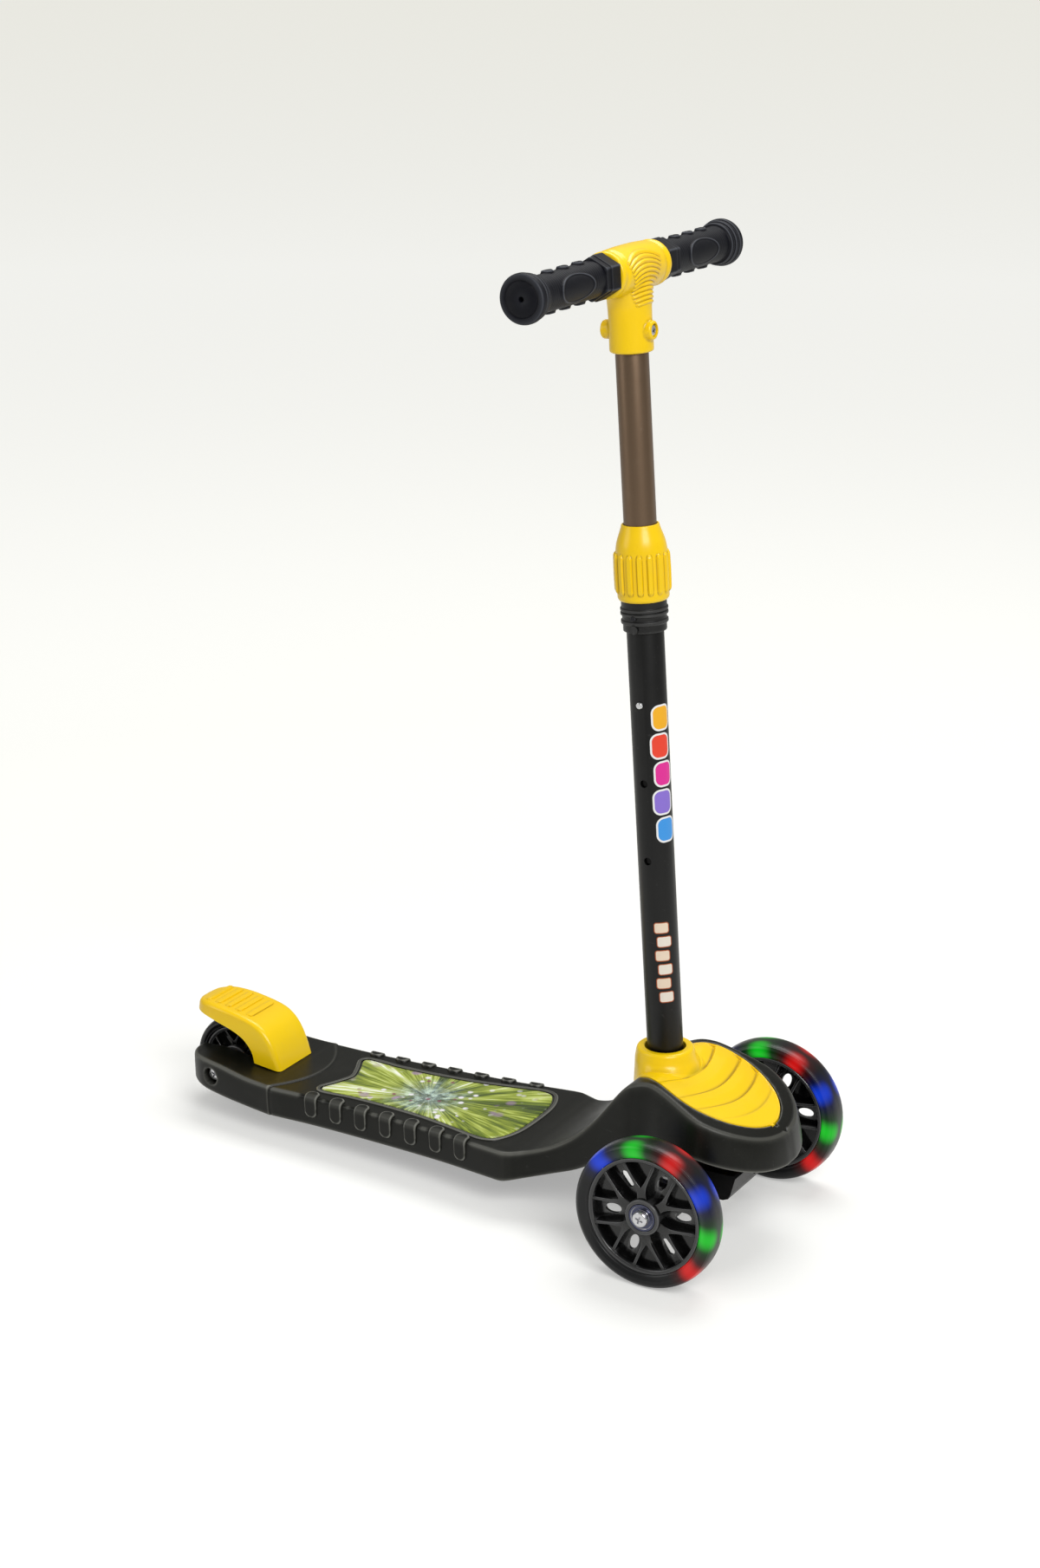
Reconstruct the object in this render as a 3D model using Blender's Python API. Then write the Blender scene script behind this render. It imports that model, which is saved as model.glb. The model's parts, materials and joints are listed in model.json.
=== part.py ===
"""Three-wheel kick scooter: two large wheels in front on a leaning truck, one small wheel
behind under a foot brake, and a T-bar on a telescopic column.

Sizes are millimetres. The scooter is drawn with its deck level: x forward from the front axle,
y to the rider's left, z up from the ground under the front wheels. STANCE then sets it down on
its three wheels, which tips the deck down towards the smaller rear wheel.
"""

import math

import bmesh
import bpy
import numpy as np
from mathutils import Matrix

MM = 0.001

# Overall sizes
WHEELBASE = 456.0
TRACK = 217.2
BAR_WIDTH = 310.4
COLUMN_HEIGHT = 697.9
DECK_TOP = 57.0
DECK_BOTTOM = 31.0

# Wheels
FRONT_WHEEL_R = 60.0
FRONT_WHEEL_W = 24.8
REAR_WHEEL_R = 40.0
REAR_WHEEL_W = 24.0
REAR_AXLE_Z = 51.0
TYRE_DEPTH_FRONT = 12.3
TYRE_DEPTH_REAR = 9.0
BEARING_R = 11.0
BEARING_W = 7.0
AXLE_R = 4.0
HEAD_R = 6.7
LIGHTS = 6
LIGHT_PITCH = math.radians(35)
LIGHT_START = math.radians(-41)
SPOKES = 6
SPOKE_PHASE = math.radians(36)

# Column, measured along its own axis from a foot 60 mm above the ground
COLUMN_X = -38.4
COLUMN_FOOT_Z = 60.0
COLUMN_LEAN = math.radians(3.197)
LOWER_TUBE_R = 14.3
TUBE_WALL = 1.5
TUBE_SLACK = 0.3
COLUMN_START = 4.0
HOLE_PITCH = 62.4
HOLES = 3
HOLE_R = 3.1
HOLE_DROP = 71.8
LOWER_TUBE_TOP = 442.0
UPPER_OVERLAP = 180.2
T_DROP = 60.6
BOLT_DROP = 44.4
T_BOLT_R = 2.5

# Handlebar
BAR_R = 11.0
GRIP_R = 13.4
FLANGE_R = 18.35
T_HALF = 37.5

KNOB_RIBS = 16

# Body shell
SHELL = 3.2
SLOT_HALF = 15.0
SLOT_FRONT = 1.35 * REAR_WHEEL_R
STEP_FRONT = 1.6 * REAR_WHEEL_R
TAIL_RISE = 0.9
TAIL_PLATE_X = STEP_FRONT + 22.3
TAIL_HALF = 44.2
AXLE_BOSS_R = 9.4
RECESS_R = 7.6
RECESS_Y = 36.5
PAD_COUNT = 7
PAD_HALF = 6.8
RIB_Y = 14.0
RIB_T = 2.6
RIB_FRONT = -3.0
BOSS_R = 20.0
BOSS_TOP_Z = 113.0
CROSS_BOLT_R = 2.5
CROSS_BOLT_S = 20.0
COVER_WALL = 2.6
COVER_SLACK = 0.4
LEDGE_DEPTH = 3.4
COVER_SCREW_X = 17.0
COVER_SCREW_Y = 35.0
LUG_Z = 98.0
COLLAR_TOP = 148.5
COLLAR_SLACK = 2.0
COLLAR_FOOT_R = 27.5

# Leaning truck
PIVOT_Z = 64.0
PIVOT_R = 4.0
PILLAR_X0 = -1.0
PILLAR_X1 = 25.0
PILLAR_HALF = 12.0
BEAM_HALF = 45.0
ARM_HALF_X = 9.0
PILLAR_TOP = 103.0
BUSH_R = 8.0
KINGPIN_INSET = 34.6
KINGPIN_R = 4.0
KNUCKLE_REACH = 17.5
ROD_PIN_R = 3.0
STEER_ARM = 22.0
STEER_PIN_R = 3.0
LUG_X0 = -42.0
LUG_X1 = -33.0

# Foot brake
BRAKE_PIN_X = 1.2125 * REAR_WHEEL_R
BRAKE_PIN_Z = REAR_AXLE_Z - 2.0
BRAKE_PIN_R = 2.5
BRAKE_WALL = 2.6
SHOE_GAP = 2.6

GAP = 0.3

# Sizes that follow from the ones above
REAR_X = -WHEELBASE
KINGPIN_Y = TRACK / 2 - KINGPIN_INSET
UPPER_TUBE_R = LOWER_TUBE_R - TUBE_WALL - TUBE_SLACK
UPPER_BORE_R = UPPER_TUBE_R - TUBE_WALL
BUTTON_S = LOWER_TUBE_TOP - HOLE_DROP
UPPER_TUBE_START = BUTTON_S - UPPER_OVERLAP
UPPER_TUBE_TOP = COLUMN_HEIGHT - BAR_R - 1.5
T_BOTTOM = COLUMN_HEIGHT - T_DROP
T_BOLT_S = COLUMN_HEIGHT - BOLT_DROP
PIN_DROP_Z = PIVOT_Z - STEER_ARM
STEER_PIN_X = -STEER_ARM
STANCE_ANGLE = math.asin(
    (FRONT_WHEEL_R - REAR_WHEEL_R) / math.hypot(WHEELBASE, FRONT_WHEEL_R - REAR_AXLE_Z)
) - math.atan2(FRONT_WHEEL_R - REAR_AXLE_Z, WHEELBASE)

SIDES = ((1, "left"), (-1, "right"))

YELLOW = (0.83, 0.62, 0.02)
BLACK = (0.018, 0.019, 0.018)
OLIVE_BLACK = (0.030, 0.034, 0.022)
STEEL = (0.62, 0.62, 0.63)
BRONZE = (0.23, 0.165, 0.11)
GREEN = (0.32, 0.45, 0.12)
SMOKE = (0.022, 0.022, 0.024)


# Scene and mesh helpers

def clear_scene():
    for obj in list(bpy.data.objects):
        bpy.data.objects.remove(obj, do_unlink=True)


def new_object(name, bm):
    """An object from a bmesh in millimetres, with its faces turned outwards."""
    bmesh.ops.remove_doubles(bm, verts=bm.verts, dist=1e-4)
    bmesh.ops.recalc_face_normals(bm, faces=bm.faces)
    bmesh.ops.triangulate(bm, faces=bm.faces)
    bmesh.ops.scale(bm, vec=(MM, MM, MM), verts=bm.verts)
    mesh = bpy.data.meshes.new(name)
    bm.to_mesh(mesh)
    bm.free()
    obj = bpy.data.objects.new(name, mesh)
    bpy.context.scene.collection.objects.link(obj)
    return obj


def bake(obj):
    """Puts the result of an object's modifiers into its mesh."""
    bpy.context.view_layer.update()
    graph = bpy.context.evaluated_depsgraph_get()
    mesh = bpy.data.meshes.new_from_object(obj.evaluated_get(graph))
    obj.modifiers.clear()
    obj.data = mesh
    return obj


def boolean(obj, other, operation):
    modifier = obj.modifiers.new(operation, "BOOLEAN")
    modifier.solver = "EXACT"
    modifier.operation = operation
    modifier.object = other
    bake(obj)
    bpy.data.objects.remove(other, do_unlink=True)
    bm = bmesh.new()
    bm.from_mesh(obj.data)
    bmesh.ops.remove_doubles(bm, verts=bm.verts, dist=1e-4 * MM)
    bmesh.ops.triangulate(bm, faces=bm.faces)
    bm.to_mesh(obj.data)
    bm.free()
    return obj


def cut(obj, *others):
    for other in others:
        boolean(obj, other, "DIFFERENCE")
    return obj


def join(obj, *others):
    for other in others:
        boolean(obj, other, "UNION")
    return obj


def moved(obj, matrix):
    """Moves the mesh itself, with the matrix in millimetres."""
    scaled = matrix.copy()
    scaled.translation = matrix.translation * MM
    obj.data.transform(scaled)
    return obj


def box(x0, x1, y0, y1, z0, z1, name="box"):
    bm = bmesh.new()
    bmesh.ops.create_cube(bm, size=1)
    for vert in bm.verts:
        vert.co.x = x0 if vert.co.x < 0 else x1
        vert.co.y = y0 if vert.co.y < 0 else y1
        vert.co.z = z0 if vert.co.z < 0 else z1
    return new_object(name, bm)


AXES = {
    "Z": Matrix.Identity(4),
    "Y": Matrix.Rotation(math.radians(-90), 4, "X"),
    "X": Matrix.Rotation(math.radians(90), 4, "Y") @ Matrix.Rotation(math.radians(4), 4, "Z"),
}


def lathe(profile, segments, axis="Z", at=(0, 0, 0), name="lathe", closed=True, turn=0.0):
    """Spins a profile of (radius, height along the axis) a full turn about the axis."""
    bm = bmesh.new()
    verts = [bm.verts.new((r * math.cos(turn), r * math.sin(turn), h)) for r, h in profile]
    edges = [bm.edges.new(pair) for pair in zip(verts, verts[1:])]
    if closed:
        edges.append(bm.edges.new((verts[-1], verts[0])))
    bmesh.ops.spin(
        bm, geom=verts + edges, axis=(0, 0, 1), cent=(0, 0, 0),
        steps=segments, angle=math.tau, use_merge=True,
    )
    bmesh.ops.remove_doubles(bm, verts=bm.verts, dist=1e-3)
    bmesh.ops.transform(bm, matrix=Matrix.Translation(at) @ AXES[axis], verts=bm.verts)
    return new_object(name, bm)


def rod(radius, h0, h1, segments, axis="Z", at=(0, 0, 0), name="rod", turn=0.0):
    profile = [(0, h0), (radius, h0), (radius, h1), (0, h1)]
    return lathe(profile, segments, axis, at, name, False, turn)


def drill(radius, h0, h1, segments, axis="Z", at=(0, 0, 0)):
    """A rod to cut with, turned so that its corners miss those of the piece round it."""
    return rod(radius, h0, h1, segments, axis, at, "drill", 0.37 * math.tau / segments)


def pipe(outer, inner, h0, h1, segments, axis="Z", at=(0, 0, 0), name="pipe"):
    profile = [(inner, h0), (outer, h0), (outer, h1), (inner, h1)]
    return lathe(profile, segments, axis, at, name)


def extruded(points, axis, h0, h1, name="extruded"):
    """A flat outline pushed along an axis. Points are (x, y), (x, z) or (y, z)."""
    bm = bmesh.new()
    for h in (h0, h1):
        for a, b in points:
            bm.verts.new({"Z": (a, b, h), "Y": (a, h, b), "X": (h, a, b)}[axis])
    bm.verts.ensure_lookup_table()
    count = len(points)
    bm.faces.new(bm.verts[:count])
    bm.faces.new(bm.verts[count:])
    for i in range(count):
        j = (i + 1) % count
        bm.faces.new([bm.verts[k] for k in (i, j, count + j, count + i)])
    return new_object(name, bm)


def slab(stations, name="slab"):
    """A solid even about y = 0, from stations (x, half width, lower z, upper z) along x."""
    bm = bmesh.new()
    rows = []
    for x, w, low, high in stations:
        corners = ((x, -w, low), (x, w, low), (x, w, high), (x, -w, high))
        rows.append([bm.verts.new(corner) for corner in corners])
    for a, b in zip(rows, rows[1:]):
        for i in range(4):
            j = (i + 1) % 4
            bm.faces.new((a[i], a[j], b[j], b[i]))
    bm.faces.new(rows[0])
    bm.faces.new(rows[-1])
    return new_object(name, bm)


def shell(outer, inner, name):
    """An open-bottomed tray. Outer and inner are rows of points from the left rim over the top
    to the right rim; both skins are closed at the first and last row and joined at the rim."""
    bm = bmesh.new()
    skins = [[[bm.verts.new(p) for p in row] for row in skin] for skin in (outer, inner)]
    for rows in skins:
        for a, b in zip(rows, rows[1:]):
            for i in range(len(a) - 1):
                bm.faces.new((a[i], a[i + 1], b[i + 1], b[i]))
        for row in (rows[0], rows[-1]):
            for i in range(len(row) // 2):
                ring = (row[i], row[i + 1], row[-2 - i], row[-1 - i])
                bm.faces.new(list(dict.fromkeys(ring)))
    outside, inside = skins
    for side in (0, -1):
        for i in range(len(outside) - 1):
            bm.faces.new(
                (outside[i][side], outside[i + 1][side], inside[i + 1][side], inside[i][side])
            )
    for end in (0, -1):
        bm.faces.new((outside[end][0], outside[end][-1], inside[end][-1], inside[end][0]))
    return new_object(name, bm)


def looped(rings, name):
    """A hollow ring-shaped solid from closed rings of points, the last joined to the first."""
    bm = bmesh.new()
    rows = [[bm.verts.new(p) for p in ring] for ring in rings]
    for a, b in zip(rows, rows[1:] + rows[:1]):
        for i in range(len(a)):
            j = (i + 1) % len(a)
            bm.faces.new((a[i], a[j], b[j], b[i]))
    return new_object(name, bm)


def wire(path, radius, sides):
    """A round wire along a path of points."""
    p = np.array(path, float)
    ahead = np.gradient(p, axis=0)
    ahead /= np.linalg.norm(ahead, axis=1)[:, None]
    side = np.cross(ahead[0], (0, 1, 0))
    rows = []
    bm = bmesh.new()
    for point, way in zip(p, ahead):
        side = side - way * side.dot(way)
        side /= np.linalg.norm(side)
        up = np.cross(way, side)
        turn = [math.tau * k / sides for k in range(sides)]
        ring = [point + radius * (side * math.cos(a) + up * math.sin(a)) for a in turn]
        rows.append([bm.verts.new(corner) for corner in ring])
    for a, b in zip(rows, rows[1:]):
        for i in range(sides):
            j = (i + 1) % sides
            bm.faces.new((a[i], a[j], b[j], b[i]))
    bm.faces.new(rows[0])
    bm.faces.new(rows[-1])
    return new_object("wire", bm)


def grown(points, distance):
    """Grows a closed outline of (x, y) outwards."""
    p = np.array(points, float)
    step = np.roll(p, -1, 0) - np.roll(p, 1, 0)
    normal = np.stack([-step[:, 1], step[:, 0]], 1)
    normal /= np.linalg.norm(normal, axis=1)[:, None]
    return p + normal * distance


def offset_line(points, distance):
    """Pushes a polyline of (x, y) to its left by a distance."""
    p = np.array(points, float)
    step = np.gradient(p, axis=0)
    normal = np.stack([-step[:, 1], step[:, 0]], 1)
    normal /= np.linalg.norm(normal, axis=1)[:, None]
    return p + normal * distance


def place(obj, frame, origin=(0, 0, 0), colour=BLACK, roughness=0.5, metallic=0.0, name=None):
    """Names a finished piece, gives it its material and its origin, and sets it in its frame."""
    if name:
        obj.name = name
        obj.data.name = name
    shift = Matrix.Translation([-c * MM for c in origin])
    obj.data.transform(shift)
    obj.matrix_world = STANCE @ frame @ shift.inverted()
    obj.data.shade_smooth()
    obj.data.set_sharp_from_angle(angle=math.radians(32))
    material = bpy.data.materials.new(obj.name)
    material.use_nodes = True
    shader = material.node_tree.nodes["Principled BSDF"]
    shader.inputs["Base Color"].default_value = (*colour, 1)
    shader.inputs["Roughness"].default_value = roughness
    shader.inputs["Metallic"].default_value = metallic
    obj.data.materials.clear()
    obj.data.materials.append(material)
    return obj


# Body outline: x, half width, top, bottom edge, and how far the side bulges half way down and
# at its foot. The tail's x is in rear wheel radii from the rear axle, the middle runs from 0 to
# 1 between the tail and the front corners of the deck, and the nose is measured from the front
# axle.
TAIL = (
    (-0.775, 20.0, 62.5, 45.0, 0.0, 0.0),
    (-0.675, 31.0, 63.5, 42.5, 0.0, 0.0),
    (-0.5, 39.0, 64.0, 40.5, 0.0, -0.5),
    (-0.2, 45.0, 64.5, 38.5, 0.0, -0.5),
    (0.3, 48.0, 62.5, 35.5, 0.0, -1.0),
    (1.4, 52.0, 57.5, 31.5, 0.0, -1.0),
)
MIDDLE = (
    (0.0, 53.0),
    (0.19, 52.6),
    (0.40, 54.6),
    (0.76, 60.6),
    (0.94, 66.2),
    (1.0, 67.8),
)
DECK_FRONT = -158.0
NOSE = (
    (-151.0, 66.6, 57.0, 32.0, 0.0, -1.0),
    (-144.0, 62.8, 57.6, 33.5, 0.0, -1.0),
    (-133.0, 57.2, 59.4, 36.0, 0.3, -1.0),
    (-117.0, 52.8, 65.2, 41.0, 0.8, -0.6),
    (-98.0, 50.6, 77.2, 48.0, 1.5, 0.0),
    (-80.0, 50.5, 95.2, 58.0, 2.0, 0.8),
    (-55.0, 51.5, 126.4, 74.0, 3.0, 1.8),
    (-43.0, 51.4, 134.4, 79.5, 3.3, 2.2),
    (-30.0, 52.0, 137.0, 84.5, 3.7, 2.6),
    (-16.0, 55.2, 134.0, 88.3, 4.0, 3.0),
    (12.0, 61.4, 122.2, 90.0, 4.7, 3.3),
    (25.0, 59.6, 116.6, 87.3, 5.0, 3.4),
    (37.0, 53.6, 111.4, 83.2, 5.0, 3.4),
    (47.0, 45.2, 106.6, 79.6, 5.0, 3.4),
    (55.0, 35.0, 102.4, 76.6, 5.0, 3.4),
    (61.0, 22.6, 99.2, 74.4, 5.0, 3.4),
    (64.6, 9.0, 97.2, 73.0, 5.0, 3.4),
)
COVER = (
    (53.4, 4.0), (51.6, 12.0), (47.6, 21.6), (41.2, 30.6), (31.8, 39.0), (18.2, 46.0),
    (2.5, 49.4), (-13.1, 48.2), (-28.3, 43.2), (-41.0, 36.6), (-53.0, 29.0), (-62.0, 20.4),
    (-67.4, 12.0), (-70.0, 4.0),
)
# Deck panel: part of the way from the tail step to the front corners, and half width
PANEL = (
    (0.226, 0.0), (0.207, 15.0), (0.177, 30.0), (0.19, 35.0), (0.23, 35.2), (0.33, 33.6),
    (0.48, 34.8), (0.65, 39.0), (0.84, 48.2), (0.90, 50.0), (0.944, 44.0), (0.97, 22.0),
    (0.974, 0.0),
)
PAD_START = 0.184
PAD_PITCH = 0.1083


def deck_x(part):
    start = REAR_X + STEP_FRONT
    return start + part * (DECK_FRONT - start)


def body_stations():
    tail = [(REAR_X + x * REAR_WHEEL_R, *rest) for x, *rest in TAIL]
    middle = [(deck_x(part), w, DECK_TOP, DECK_BOTTOM, 0.0, -1.0) for part, w in MIDDLE]
    return np.array(tail + middle + list(NOSE))


STATIONS = body_stations()


def half_width(x):
    return float(np.interp(x, STATIONS[:, 0], STATIONS[:, 1]))


def top_z(x):
    return float(np.interp(x, STATIONS[:, 0], STATIONS[:, 2]))


def foot_z(x):
    return float(np.interp(x, STATIONS[:, 0], STATIONS[:, 3]))


def below_top(x, depth):
    """Height at a depth under the top skin, measured square to the skin."""
    slope = (top_z(x + 4) - top_z(x - 4)) / 8
    return top_z(x) - depth * math.sqrt(1 + slope * slope)


def column_axis(z):
    return COLUMN_X - (z - COLUMN_FOOT_Z) * math.tan(COLUMN_LEAN)


# Deck, neck and nose in one moulding

def body_rows(inset):
    """Rows of points over the body, inset from its outer surface."""
    plan = offset_line(STATIONS[:, :2], -inset)
    normal = offset_line(STATIONS[:, :2], 1.0) - STATIONS[:, :2]
    corner = 3.0 if inset == 0 else 1.2
    rows = []
    for (px, py), (nx, ny), (x, _, top, foot, bulge, toe) in zip(plan, normal, STATIONS):
        if inset:
            top = below_top(x, inset)
        side = top - 1.1 * corner
        middle = foot + 0.55 * (top - foot)
        half = [
            (px - 5.0 * nx, 0.0, top),
            (px - corner * nx, py - corner * ny, top),
            (px + 0.2 * bulge * nx, py + 0.2 * bulge * ny, side),
            (px + bulge * nx, py + bulge * ny, middle),
            (px + toe * nx, py + toe * ny, foot),
        ]
        left = half[:0:-1]
        right = [(a, -b, c) for a, b, c in half[1:]]
        rows.append(left + [half[0]] + right)
    return rows


def side_pads():
    """Grip pads that wrap the side and the top edge of the deck."""
    section = [
        (1.4, DECK_BOTTOM + 7.0), (1.6, DECK_TOP - 3.6), (-1.2, DECK_TOP + 1.3),
        (-9.0, DECK_TOP + 1.3), (-10.5, DECK_TOP - 1.5), (-2.0, DECK_BOTTOM + 7.0),
    ]
    pads = []
    for k in range(PAD_COUNT):
        x = deck_x(PAD_START + k * PAD_PITCH)
        turn = math.atan2(half_width(x + 5) - half_width(x - 5), 10)
        for side in (1, -1):
            pad = extruded([(side * a, b) for a, b in section], "X", -PAD_HALF, PAD_HALF)
            spin = Matrix.Rotation(side * turn, 4, "Z")
            pads.append(moved(pad, Matrix.Translation((x, side * half_width(x), 0)) @ spin))
    return pads


def tail_plate():
    """The tail stands a little proud of the deck in front of it, up to a curved edge."""
    back = REAR_X + TAIL[-1][0] * REAR_WHEEL_R - 4.0
    across = np.linspace(-0.98, 0.98, 13) * half_width(back)
    front = [(REAR_X + TAIL_PLATE_X - 0.0085 * y * y, y) for y in across]
    edge = [(back, across[-1]), (back, across[0])]
    return extruded(front + edge, "Z", DECK_TOP - 1.2, DECK_TOP + TAIL_RISE)


def panel_outline(grow):
    """Closed outline of the deck panel, grown outwards."""
    half = [(deck_x(part), w) for part, w in PANEL]
    points = half + [(x, -w) for x, w in half[-2:0:-1]]
    return grown(points, grow)


def cover_line(grow):
    """Half outline of the nose cover, grown outwards, from its tip to its tail."""
    return offset_line(COVER, -grow)


def cover_slab(grow, low, high):
    return slab([(x, w, low(x), high(x)) for x, w in cover_line(grow)])


def cover_seat(x):
    """Height of the ledge that the nose cover rests on."""
    line = cover_line(COVER_SLACK)[::-1, 0]
    return np.interp(x, line, [below_top(a, LEDGE_DEPTH) for a in line])


def lengthwise_rib(side):
    """Upright rib under the deck and neck, to one side of the middle."""
    xs = np.linspace(REAR_X + SLOT_FRONT + 1.6, RIB_FRONT, 13)
    low = [(x, foot_z(x) + 4) for x in xs]
    high = [(x, min(below_top(x, 2.2), BOSS_TOP_Z)) for x in xs[::-1]]
    return extruded(low + high, "Y", side * RIB_Y, side * (RIB_Y + RIB_T))


def crosswise_rib(x, low, high, reach):
    half = half_width(x) + reach
    return box(x - RIB_T / 2, x + RIB_T / 2, -half, half, low, high)


def pillar():
    """Tongue that hangs from the nose into the leaning beam, round about the lean axis."""
    turn = [math.radians(a) for a in range(180, 361, 15)]
    arc = [(PILLAR_HALF * math.cos(a), PIVOT_Z + PILLAR_HALF * math.sin(a)) for a in turn]
    points = [(PILLAR_HALF, PILLAR_TOP), (-PILLAR_HALF, PILLAR_TOP)] + arc
    return extruded(points, "X", PILLAR_X0, PILLAR_X1)


def make_deck_body():
    body = shell(body_rows(0.0), body_rows(SHELL), "deck_body")
    slot_front = REAR_X + SLOT_FRONT
    slot_wall = [x for x in STATIONS[1:, 0] if x < slot_front]
    slot_wall = [STATIONS[0, 0] + 1.5] + slot_wall + [slot_front + SHELL]
    join(
        body,
        tail_plate(),
        slab([(x, SLOT_HALF + SHELL, foot_z(x) + 1, below_top(x, 1.5)) for x in slot_wall]),
        rod(AXLE_BOSS_R, -TAIL_HALF, TAIL_HALF, 20, "Y", (REAR_X, 0, REAR_AXLE_Z)),
        rod(5.6, -25, 25, 14, "Y", (REAR_X + BRAKE_PIN_X, 0, BRAKE_PIN_Z)),
    )
    cut(
        body,
        box(STATIONS[0, 0] - 29, slot_front, -SLOT_HALF, SLOT_HALF, 0, 120),
        drill(AXLE_R + 0.25, -70, 70, 16, "Y", (REAR_X, 0, REAR_AXLE_Z)),
        drill(RECESS_R, RECESS_Y, 70, 20, "Y", (REAR_X, 0, REAR_AXLE_Z)),
        drill(RECESS_R, -70, -RECESS_Y, 20, "Y", (REAR_X, 0, REAR_AXLE_Z)),
        drill(BRAKE_PIN_R + 0.25, -23.5, 23.5, 14, "Y", (REAR_X + BRAKE_PIN_X, 0, BRAKE_PIN_Z)),
    )
    join(body, *side_pads())
    ridge = extruded(panel_outline(4.4), "Z", DECK_TOP - 1.2, DECK_TOP + 1.2)
    cut(ridge, extruded(panel_outline(2.4), "Z", DECK_TOP - 5, DECK_TOP + 5))
    join(body, ridge)
    join(body, lengthwise_rib(1), lengthwise_rib(-1))
    for part in (0.04, 0.36, 0.68, 0.99):
        join(body, crosswise_rib(deck_x(part), DECK_BOTTOM + 5.3, DECK_TOP - 2.5, -1.6))
    join(body, cover_slab(3.5, lambda x: below_top(x, 6.5), lambda x: below_top(x, 1.5)))
    cut(
        body,
        cover_slab(COVER_SLACK, lambda x: below_top(x, LEDGE_DEPTH), lambda x: top_z(x) + 60),
        cover_slab(-3.5, lambda x: below_top(x, 9.5), lambda x: top_z(x) + 90),
        extruded(panel_outline(GAP), "Z", DECK_TOP - 1.5, DECK_TOP + 9),
    )
    boss_x = column_axis(BOSS_TOP_Z - 14)
    join(
        body,
        crosswise_rib(boss_x, 86, BOSS_TOP_Z - 3, 1.2),
        crosswise_rib(PILLAR_X0 - 0.6, 93, PILLAR_TOP + 1, 2.2),
        crosswise_rib(PILLAR_X1 + 0.6, 90.5, PILLAR_TOP - 1, 2.6),
        pillar(),
        moved(rod(BOSS_R, -2, BOSS_TOP_Z - COLUMN_FOOT_Z, 22), COLUMN_MM),
        box(LUG_X0, LUG_X1, -8, 8, PIN_DROP_Z - 6.5, COLUMN_FOOT_Z + 4),
    )
    for side in (1, -1):
        y = side * COVER_SCREW_Y
        join(body, box(COVER_SCREW_X - 6, PILLAR_X1, y - 5, y + 5, LUG_Z, LUG_Z + 3.4))
        cut(body, drill(1.9, LUG_Z - 3, LUG_Z + 7, 12, "Z", (COVER_SCREW_X, y, 0)))
    return cut(
        body,
        moved(drill(LOWER_TUBE_R + 0.3, COLUMN_START - GAP, 90, 24), COLUMN_MM),
        moved(drill(6, -9, 9, 12), COLUMN_MM),
        moved(drill(CROSS_BOLT_R + 0.25, -30, 30, 12, "Y", (0, 0, CROSS_BOLT_S)), COLUMN_MM),
        drill(BUSH_R + 0.25, PILLAR_X0 - 9, PILLAR_X1 + 9, 20, "X", (0, 0, PIVOT_Z)),
        drill(STEER_PIN_R + 0.25, LUG_X0 - 4, LUG_X1 + 4, 12, "X", (0, 0, PIN_DROP_Z)),
    )


def make_front_cover():
    """Domed cover with a raised collar round the column; open underneath."""
    centre = column_axis(130)
    line = cover_line(0.0)
    line = np.concatenate([line, line[::-1] * (1, -1)])
    turn = np.arctan2(line[:, 1], line[:, 0] - centre)
    edge = np.hypot(line[:, 1], line[:, 0] - centre)
    even = np.ones(len(line))
    base = np.minimum(COLLAR_FOOT_R, edge - 1.5)
    collar_in = LOWER_TUBE_R + COLLAR_SLACK
    edge_x = centre + edge * np.cos(turn)
    base_x = centre + base * np.cos(turn)
    rim_top = np.array([top_z(x) for x in edge_x])
    seat_x = centre + (edge - COVER_WALL) * np.cos(turn)
    rim_low = cover_seat(edge_x) + 0.7
    seat_low = cover_seat(seat_x) + 0.7
    base_top = np.array([top_z(x) for x in base_x]) + 1.2 - 3.4 * np.maximum(np.cos(turn), 0)
    span = edge - base

    def dome(share, drop):
        swell = 1.6 * math.sin(math.pi * share) * np.minimum(span / 40, 1)
        return edge - share * span, rim_top + share * (base_top - rim_top) + swell - drop

    wall = COVER_WALL
    rings = [
        (edge, rim_low),
        (edge, rim_top - 0.4),
        (edge - 0.9, rim_top + 0.5),
        dome(0.3, 0.0),
        dome(0.65, 0.0),
        (base, base_top),
        (even * (collar_in + 8.2), even * (COLLAR_TOP - 9)),
        (even * (collar_in + 6.0), even * (COLLAR_TOP - 1.4)),
        (even * (collar_in + 4.4), even * COLLAR_TOP),
        (even * collar_in, even * COLLAR_TOP),
        (even * collar_in, even * (COLLAR_TOP - 20)),
        (base - wall - 1.5, np.minimum(base_top, COLLAR_TOP - 15) - wall - 1.5),
        dome(0.65, wall),
        dome(0.3, wall),
        (edge - wall, seat_low),
    ]
    points = []
    for radius, height in rings:
        shift = (height - 130) * math.tan(COLUMN_LEAN)
        fade = np.clip((height - 126) / 10, 0, 1)
        x = centre - shift * fade + radius * np.cos(turn)
        points.append(np.stack([x, radius * np.sin(turn), height], 1))
    cover = looped(points, "front_cover")
    for side in (1, -1):
        y = side * COVER_SCREW_Y
        high = below_top(COVER_SCREW_X, 1.0)
        join(cover, rod(3.6, LUG_Z + 4.3, high, 12, "Z", (COVER_SCREW_X, y, 0)))
        cut(cover, drill(1.6, LUG_Z, LUG_Z + 15, 10, "Z", (COVER_SCREW_X, y, 0)))
    return cover


def make_cover_screw(side):
    head = LUG_Z - GAP
    profile = [
        (0, head - 2.4), (2.4, head - 2.4), (3.2, head - 1.2), (3.2, head), (1.4, head),
        (1.4, LUG_Z + 13), (0, LUG_Z + 14),
    ]
    return lathe(profile, 12, "Z", (COVER_SCREW_X, side * COVER_SCREW_Y, 0), closed=False)


def make_deck_panel():
    return extruded(panel_outline(0.0), "Z", DECK_TOP - 1.2, DECK_TOP + 0.6)


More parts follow.
